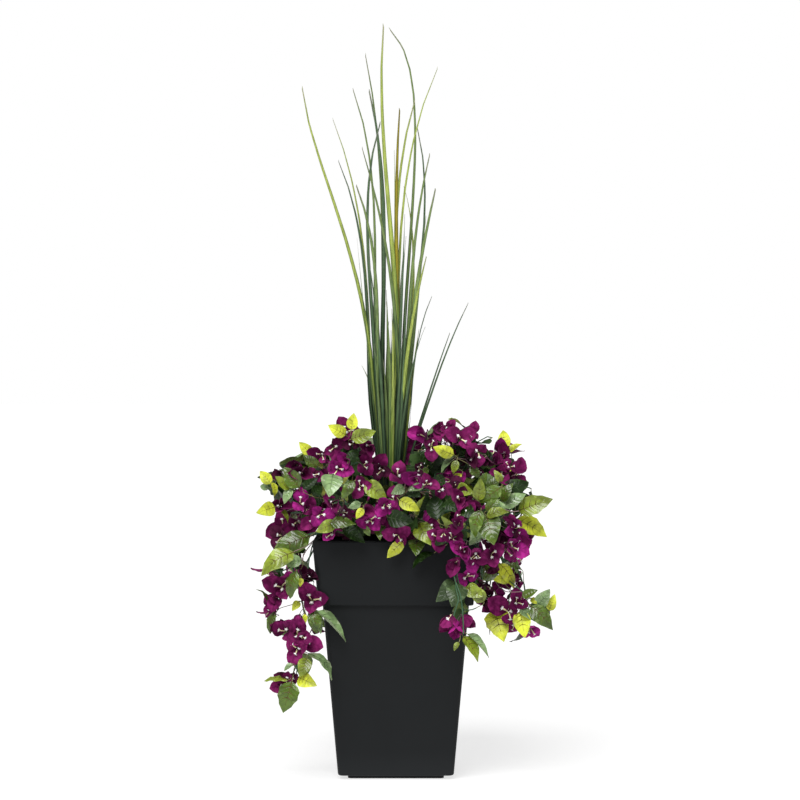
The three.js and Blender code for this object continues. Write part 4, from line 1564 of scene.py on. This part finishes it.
def gatherSprays(made):
    # neighbours share one spray foot a little further in
    groups = []
    for item in made:
        for group in groups:
            near = (group["middle"] - item[1]).length < sprays["groupReach"]
            if near and len(group["items"]) < sprays["groupMost"]:
                group["items"].append(item)
                places = [other[1] for other in group["items"]]
                group["middle"] = sum(places, Vector()) / len(places)
                break
        else:
            groups.append({"middle": item[1].copy(), "items": [item]})
    for group in groups:
        middle = group["middle"]
        mass = nearestMass(middle)
        inward = (massMiddles[mass] - middle).normalized()
        depth = sprays["trailGroupDepth" if mass in trailMasses else "groupDepth"]
        foot = middle + inward * depth
        if hitsTub(foot, guides["footRoom"]):
            foot = middle + inward * guides["footRoom"]
        feet.append((foot, -inward))
        for kind, place, way in group["items"]:
            stalks.append((foot, place, way, kind))


def guideSamples(seed, perMass):
    # places spread over the masses, with the way out at each
    found = []
    for name in massNodes:
        points, corners = nodeArrays(name)
        a, b, c = points[corners[:, 0]], points[corners[:, 1]], points[corners[:, 2]]
        cross = np.cross(b - a, c - a)
        area = np.linalg.norm(cross, axis=1)
        picks = np.cumsum(area) / area.sum()
        for _ in range(perMass):
            i = min(int(np.searchsorted(picks, seed.random())), len(picks) - 1)
            u, v = seed.random(), seed.random()
            if u + v > 1:
                u, v = 1 - u, 1 - v
            place = Vector(a[i] + u * (b[i] - a[i]) + v * (c[i] - a[i]))
            found.append((name, place, Vector(cross[i] / area[i])))
    seed.shuffle(found)
    return found


def openPlaces(seed):
    kept = []
    for name, place, normal in guideSamples(seed, sprays["samples"]):
        probe = place + normal * 0.016
        if any(depthIn(other, probe) < 0.92 for other in massNodes if other != name):
            continue
        if hitsTub(place + normal * 0.012, 0.010) or nearGrass(place, 0.03):
            continue
        if place.z < 0.49 and max(abs(place.x), abs(place.y)) < 0.16:
            continue
        if any((place - other[1]).length < sprays["spacing"] for other in kept):
            continue
        kept.append((name, place, normal))
    return kept


def seesEye(place, normal):
    toEye = (eye - place).normalized()
    if normal.dot(toEye) < sprays["facesEye"]:
        return False
    return guide.ray_cast(place + toEye * 0.012, toEye)[0] is None


def anyWay(seed):
    return Vector((seed.gauss(0, 1), seed.gauss(0, 1), seed.gauss(0, 1)))


def sprayAt(place, normal, seed, bloom, sunk):
    mass = nearestMass(place)
    inward = (massMiddles[mass] - place).normalized()
    base = place - normal * (sprays["frontSink"] if sunk else sprays["sink"])
    foot = base + inward * sprays["footDepth"]
    if hitsTub(foot, guides["footRoom"]) or nearGrass(foot):
        foot = base
    before = len(stalks)
    side = square(normal, anyWay(seed))
    other = normal.cross(side)
    droop = up * sprays["trailDroop" if mass in trailMasses else "bushDroop"]
    if bloom:
        count, stray = seed.choice(sprays["flowerCounts"]), sprays["flowerStray"]
        tone = seed.choice(sprays["bloomTones"])
        # painted shade: a sunk spray's flowers take the darker tones
        if sunk:
            tone = seed.choice(sprays["sunkTones"])
        for k in range(count):
            angle = 2 * math.pi * (k + seed.uniform(-0.2, 0.2)) / count
            reach = seed.uniform(*sprays["flowerReach"])
            way = side * math.cos(angle) + other * math.sin(angle)
            spot = base + way * reach + normal * seed.uniform(-stray, stray)
            axis = (normal + way * seed.uniform(*sprays["flowerLean"]) + droop * 0.5).normalized()
            if hitsTub(spot, 0.012) or hitsTub(spot + axis * 0.02) or nearGrass(spot, 0.022):
                continue
            rims = rimsOf(axis, side, sprays["flowerRim"])
            if not all(inFrontOutline(spot + axis * 0.015 + rim, 1.5) for rim in rims):
                continue
            if any(coversShown(spot + axis * 0.015 + rim * 0.8) for rim in (axis * 0.0, *rims)):
                continue
            if any(outOfDepth(spot + axis * 0.028 + rim) for rim in rims):
                continue
            size = seed.uniform(*sprays["flowerSize"])
            keeps = seed.random() < sprays["toneKept"]
            ownTone = tone if keeps else seed.choice(list(flowerTints))
            turn = Quaternion(axis, seed.uniform(0, 6.28))
            shape = seed.randrange(len(flowerLooks) - 1)
            addFlower(ownTone, spot, axis, size, shape, turn @ rims[0])
            stalks.append((foot, spot, axis, "flower"))
    leafCount = seed.choice(sprays["bloomLeaves" if bloom else "plainLeaves"])
    tints = seed.choice(sprays["outerTints"])
    if mass in trailMasses:
        tints = seed.choice(sprays["trailTints"])
    # painted shade: a sunk spray's leaves take the darker tints
    if sunk:
        tints = seed.choice(sprays["sunkTints"])
    for k in range(leafCount):
        angle = 2 * math.pi * (k + seed.uniform(-0.25, 0.25)) / leafCount + 0.5
        way = side * math.cos(angle) + other * math.sin(angle)
        ahead = (way + normal * seed.uniform(*sprays["leafLift"]) + droop).normalized()
        length = seed.uniform(*sprays["leafLength"])
        start = base + way * (0.030 if bloom else 0.012)
        tip = start + ahead * length
        facing = square(ahead, normal + way * 0.2)
        width = length * sprays["leafAspect"] * seed.uniform(0.9, 1.1)
        wing = ahead.cross(facing) * width / 2
        middle = (start + tip) / 2
        spots = [start, tip, middle + wing, middle - wing]
        if any(hitsTub(spot) or nearGrass(spot, 0.008) for spot in spots):
            continue
        if not all(inFrontOutline(spot, 2.0) for spot in spots[1:]):
            continue
        if any(coversShown(spot) or outOfDepth(spot) for spot in (middle, *spots)):
            continue
        addLeaf(seed.choice(tints), start, tip, facing, width, seed.randrange(len(leafLooks)))
        stalks.append((foot, start, ahead, "leaf"))
    if len(stalks) > before:
        feet.append((foot, -inward))


def layInnerLeaves(seed):
    kept = []
    for name, place, normal in guideSamples(seed, sprays["innerSamples"]):
        deep = place - normal * seed.uniform(*sprays["innerDepth"])
        if hitsTub(deep, 0.012) or nearGrass(deep, 0.03):
            continue
        if any((deep - other).length < sprays["innerSpacing"] for other in kept):
            continue
        kept.append(deep)
        before = len(stalks)
        side = square(normal, anyWay(seed))
        tipSpare, middleSpare = (-1.5, -3.0) if name in frontTrails else (0.0, 0.0)
        for k in range(sprays["innerCount"]):
            way = Quaternion(normal, 2.1 * k) @ side
            ahead = (way + normal * seed.uniform(-0.4, 0.3)).normalized()
            length = seed.uniform(*sprays["innerLength"])
            start = deep + way * 0.006
            tip = start + ahead * length
            middle = (start + tip) / 2
            if hitsTub(tip) or hitsTub(middle, 0.012) or nearGrass(tip, 0.006):
                continue
            wing = square(ahead, way) * length * 0.28
            edges = ((tip, tipSpare), (middle, middleSpare),
                     (middle + wing, 0.5), (middle - wing, 0.5))
            if not all(inFrontOutline(point, spare) for point, spare in edges):
                continue
            if coversShown(tip) or coversShown(middle):
                continue
            width = length * sprays["innerAspect"]
            # painted shade: every inner leaf takes the darkest tint
            addLeaf("Dark", start, tip, normal, width, seed.randrange(len(leafLooks)))
            stalks.append((deep, start, ahead, "leaf"))
        if len(stalks) > before:
            feet.append((deep, normal))
    return len(kept)


def laySprays():
    seed = random.Random(sprays["seed"])
    markShownSpots()
    made = layShownLeaves(seed) + layShownFlowers(seed)
    gatherSprays(made)
    layShownStems()
    places = openPlaces(seed)
    for name, place, normal in places:
        sunk = seesEye(place, normal)
        bloom = seed.random() < sprays["sunkBloomShare" if sunk else "bloomShare"]
        if name in frontTrails:
            bloom = False
            if sunk:
                continue
        sprayAt(place, normal, seed, bloom, sunk)
    inner = layInnerLeaves(seed)
    flowers, leaves = (sum(len(items) for items in chosen[kind].values())
                       for kind in ("flowers", "leaves"))
    print(f"{len(made)} shown, {len(places)} outer and {inner} inner sprays:"
          f" {flowers} flowers, {leaves} leaves")


laySprays()

# limbs and twigs

limbs = {
    "stemSlices": 8,
    "rimSlices": 14,          # of a bough over the rim
    "slices": 9,
    "strands": {"thick": 6, "parted": 2, "plain": 3},
    "turnLength": 0.085,      # metres for one turn of the strands
    "strandShare": 0.54,      # strand radius over limb radius
    "offsetShare": 0.46,
    "looseStrand": 0.36,      # the same where the strands are thin and apart
    "looseOffset": 0.62,
    "relief": 0.0014,
    "reliefScale": 160.0,
    "heart": (0, 0, 0.5),     # where the wood grows from
    "farCost": 0.3,           # how much a long way round counts against a start
    "startsTried": 14,
    "leastSpan": 0.004,
    "twigStep": 0.014,
    "twigSteps": (4, 9),
    "twigTip": 0.0008,
    "twigGrow": 0.00042,
    "twigMost": 0.0024,
    "twigRelief": 0.0005,
    "twigReliefScale": 260.0,
    "stalkRadius": 0.0008,
    "hangingRadius": {"stem": 0.0014, "pedicel": 0.0010},
}


def stemMaterial(name, tint, shade, roughness):
    material, tree, shader, place = newMaterial(name, roughness, 0.4)
    patch = noiseAt(tree, place, 70.0, 4.0)
    colour = mixColour(tree, patch, screenColour(*shade), screenColour(*tint))
    colourAndBump(tree, shader, colour, noiseAt(tree, place, 900.0, 2.0), 0.6, 0.0006)
    return material


def limbStrands(name):
    thick, parted = name.startswith("stem_"), name.startswith("right_inner")
    if thick:
        spine, halves = centreline(name, limbs["stemSlices"], up)
    else:
        spine, halves = centreline(name, limbs["rimSlices" if "over_rim" in name else "slices"])
    reach = sum((spine[i + 1] - spine[i]).length for i in range(len(spine) - 1))
    radii = [half / math.sqrt(2) for half in halves]
    fine = []
    for i in range(len(spine) - 1):
        for k in range(3):
            fine.append((spine[i].lerp(spine[i + 1], k / 3),
                         radii[i] + (radii[i + 1] - radii[i]) * k / 3))
    fine.append((spine[-1], radii[-1]))
    points = [point for point, _ in fine]
    sides = sidesAlong(points, Vector((0.3, 0.5, 0.8)))
    count = limbs["strands"]["thick" if thick else "parted" if parted else "plain"]
    loose = thick or parted
    strandShare = limbs["looseStrand" if loose else "strandShare"]
    offsetShare = limbs["looseOffset" if loose else "offsetShare"]
    paths = []
    for strand in range(count):
        course = []
        for i, (point, radius) in enumerate(fine):
            walked = reach * i / (len(fine) - 1)
            angle = 2 * math.pi * (strand / count + walked / limbs["turnLength"])
            way = Quaternion(aheadAt(points, i).normalized(), angle) @ sides[i]
            course.append(point + way * radius * offsetShare)
        halves = [radius * strandShare for _, radius in fine]
        paths.append((course, halves, sidesAlong(course, sides[0])))
    return paths, spine


def growTwigs(spines):
    # each spray foot joins the nearest wood already grown, nearest feet first
    places = [point for spine in spines for point in spine]
    ways = [aheadAt(spine, i).normalized() for spine in spines for i in range(len(spine))]
    heart = Vector(limbs["heart"])
    walked = [(place - heart).length for place in places]
    parents = [-1] * len(places)
    tips = [0] * len(places)
    paths = []
    limb = np.array([tuple(place) for place in places])

    def fromLimb(foot):
        return float(np.min(np.linalg.norm(limb - np.array(tuple(foot[0])), axis=1)))

    for foot, outward in sorted(feet, key=fromLimb):
        spots = np.array([tuple(place) for place in places])
        span = np.linalg.norm(spots - np.array(tuple(foot)), axis=1)
        cost = span + limbs["farCost"] * np.array(walked)
        best = None
        for start in np.argsort(cost)[:limbs["startsTried"]]:
            start = int(start)
            span = (foot - places[start]).length
            if span < limbs["leastSpan"]:
                break
            leave = (ways[start] * 0.5 + (foot - places[start]).normalized()).normalized() * span
            fewest, most = limbs["twigSteps"]
            steps = max(fewest, min(most, int(span / limbs["twigStep"])))
            course = hermite(places[start], foot, leave * 0.9, outward * span * 0.7, steps)
            struck = sum(hitsTub(point, 0.002) for point in course)
            struck += sum(nearGrass(point, 0.0) for point in course)
            if best is None or struck < best[0]:
                best = (struck, start, course)
            if struck == 0:
                break
        if best is None:
            continue
        _, start, course = best
        chain = [start]
        for i in range(1, len(course)):
            places.append(course[i])
            ways.append((course[i] - course[i - 1]).normalized())
            walked.append(walked[chain[-1]] + (course[i] - course[i - 1]).length)
            parents.append(chain[-1])
            tips.append(0)
            chain.append(len(places) - 1)
        paths.append(chain)
        node = chain[-1]
        while node >= 0:
            tips[node] += 1
            node = parents[node]
    made = []
    for chain in paths:
        points = [places[node] for node in chain]
        own = [tips[node] for node in chain[1:]]
        counts = [own[0]] + own
        halves = [min(limbs["twigTip"] + limbs["twigGrow"] * math.sqrt(count), limbs["twigMost"])
                  for count in counts]
        made.append((points, halves, sidesAlong(points, Vector((0.4, 0.6, 0.7)))))
    return made


def stalkRow(points, halves):
    return points, halves, sidesAlong(points, Vector((0.5, 0.4, 0.7)))


def makeWood():
    strands, spines = [], []
    for name in limbNodes:
        paths, spine = limbStrands(name)
        strands.extend(paths)
        spines.append(spine)
    rows = {"stem": growTwigs(spines), "pedicel": [], "petiole": []}
    for foot, end, way, kind in stalks:
        span = (end - foot).length
        if span < 0.003:
            continue
        leave = (end - foot).normalized() * span
        points = hermite(foot, end, leave * 0.8, way * span * 0.8, 5)
        halves = [limbs["stalkRadius"] * share for share in (1.5, 1.2, 1.0, 1.0, 1.2)]
        rows["pedicel" if kind == "flower" else "petiole"].append(stalkRow(points, halves))
    for kind, spots in hanging:
        points = [spots[0]]
        for i in range(1, len(spots)):
            before, after = spots[max(i - 2, 0)], spots[min(i + 1, len(spots) - 1)]
            leave, arrive = (spots[i] - before) * 0.5, (after - spots[i - 1]) * 0.5
            points.extend(hermite(spots[i - 1], spots[i], leave, arrive, 4)[1:])
        rows[kind].append(stalkRow(points, [limbs["hangingRadius"][kind]] * len(points)))
    green = stemMaterial("stemPlastic", (66, 104, 70), (40, 70, 48), 0.5)
    mauve = stemMaterial("mauveStalk", (148, 120, 122), (108, 92, 84), 0.6)
    olive = stemMaterial("oliveStalk", (140, 142, 88), (110, 92, 70), 0.6)
    thickLook = {"relief": limbs["relief"], "reliefScale": limbs["reliefScale"]}
    twigLook = {"relief": limbs["twigRelief"], "reliefScale": limbs["twigReliefScale"]}
    for name, paths, material, corners, look, replaced in (
            ("stemStrands", strands, green, 8, thickLook, limbNodes),
            ("twigs", rows["stem"], green, 5, twigLook, massNodes),
            ("flowerStalks", rows["pedicel"], mauve, 4, {}, massNodes),
            ("leafStalks", rows["petiole"], olive, 4, {}, massNodes)):
        addPiece(name, sweep(name, paths, material, corners, **look), replaced)
    print(f"{len(spines)} limbs, {len(rows['stem'])} twigs,"
          f" {len(rows['pedicel']) + len(rows['petiole'])} stalks")


makeWood()

# leaves and flowers

cloth = {
    "mottleScale": 90.0,
    "driftScale": 26.0,
    "weaveScale": 1500.0,
    "light": 1.24,             # of the printed colour, where the mottle is light
    "dark": 0.6,
    "bractHighlight": 0.010,       # added to the lightest, on bracts and on the rest; on bracts it is a painted highlight
    "plainLight": -0.004,
    # the darker end on bracts, deeper than on leaves: painted shade
    "bractShade": 0.40,
    # the vein colour, also used for the painted shade at the foot and down the crease
    "vein": 0.4,
    "sheen": 0.05,
    "veinLines": {"leaf": 18.0, "bract": 9.0},
    "leafThroat": 0.1,         # how far the painted shade at the foot reaches
    "bractThroat": 0.5,
    "brownVeins": (96, 72, 40),
    "paleVeins": (72, 92, 58),
    "cream": (242, 230, 180),
    "white": (252, 250, 244),
}


def clothMaterial(name, tint, roughness, specular, depth, kind=None):
    # printed cloth: a mottle, a fine weave, and on leaves and bracts veins, with painted shade at
    # the foot and crease
    material, tree, shader, place = newMaterial(name, roughness, specular)
    isBract = kind == "bract"
    shader.inputs["Sheen Weight"].default_value = cloth["sheen"] if isBract else 0.0
    mottle = maths(tree, "ADD", noiseAt(tree, place, cloth["mottleScale"], 3.0),
                   noiseAt(tree, place, cloth["driftScale"], 0.0))
    weave = noiseAt(tree, place, cloth["weaveScale"], 1.0)
    base = screenColour(*tint)
    # on bracts the mottle's dark and light ends are painted shade and painted highlight
    darker = shaded(base, cloth["bractShade" if isBract else "dark"])
    lighter = shaded(base, cloth["light"], cloth["bractHighlight" if isBract else "plainLight"])
    share = remap(tree, maths(tree, "MULTIPLY", mottle, 0.5), 0.40, 0.60)
    colour = mixColour(tree, share, darker, lighter)
    height = maths(tree, "MULTIPLY", weave, 0.25 if roughness > 0.4 else 0.06)
    if kind:
        flat = put(tree, "ShaderNodeUVMap", uv_map="UVMap").outputs[0]
        across, along, _ = put(tree, "ShaderNodeSeparateXYZ", {0: flat}).outputs
        off = maths(tree, "ABSOLUTE", maths(tree, "SUBTRACT", across, 0.5))
        deep = shaded(base, cloth["vein"])
        # painted shade: darker towards the sheet's foot and down its middle crease, full on bracts,
        # weaker on leaves
        low = remap(tree, along, 0.0, cloth[kind + "Throat"], 0.9, 0.0)
        creaseShade = remap(tree, off, 0.0, 0.1, 0.5, 0.0)
        shade = maths(tree, "MAXIMUM", low, maths(tree, "MULTIPLY", creaseShade, 1.0 if isBract else 0.3))
        colour = mixColour(tree, shade, colour, deep)
        veins = cloth["veinLines"][kind]
        bars = maths(tree, "SUBTRACT", maths(tree, "MULTIPLY", along, veins),
                     maths(tree, "MULTIPLY", off, veins * 0.5))
        ribs = maths(tree, "POWER", maths(tree, "ABSOLUTE", maths(tree, "SINE", bars)), 0.5)
        if isBract:
            colour = mixColour(tree, maths(tree, "MULTIPLY_ADD", ribs, -0.45, 0.45), colour, deep)
        height = maths(tree, "ADD", height, ribs)
    colourAndBump(tree, shader, colour, height, 0.7, depth)
    return material


def addScattered(name, items, shapes, *look):
    # look is the material's name and the rest that clothMaterial takes
    mesh = scatter(name, items, shapes, clothMaterial(*look))
    addPiece(name, mesh, massNodes)


def makeFoliage():
    veinItems = {"Brown": [], "Pale": []}
    for tint, (upperTint, backTint, veins, roughness, gloss, _) in leafTints.items():
        items = chosen["leaves"][tint]
        veinItems[veins].extend(items)
        addScattered("leaves" + tint, items, leafTops,
                     "leaf" + tint, upperTint, roughness, gloss, 0.0006, "leaf")
        addScattered("leafBacks" + tint, items, leafBacks,
                     "leafBack" + tint, backTint, 0.6, 0.15, 0.0005, "leaf")
    for tint, items in veinItems.items():
        addScattered("veins" + tint, items, leafRibs,
                     "vein" + tint, cloth[tint.lower() + "Veins"], 0.6, 0.25, 0.0003)
    # a bract piece for each tone; the lit and shaded tones are painted highlight and painted shade
    for tone, (tint, _) in flowerTints.items():
        addScattered("bracts" + tone, chosen["flowers"][tone], bractShapes,
                     "bract" + tone, tint, 0.55, 0.05, 0.0006, "bract")
    everyFlower = [item for items in chosen["flowers"].values() for item in items]
    for name, shapes, look, tint in (("floretTubes", tubeShapes, "creamTube", "cream"),
                                     ("floretStars", starShapes, "whiteStar", "white")):
        addScattered(name, everyFlower, shapes, look, cloth[tint], 0.6, 0.2, 0.0002)


makeFoliage()
for holder in (leafTops, leafBacks, leafRibs, bractShapes, tubeShapes, starShapes):
    for shape in list(holder.objects):
        bpy.data.objects.remove(shape)
    bpy.data.collections.remove(holder)
print("foliage made")
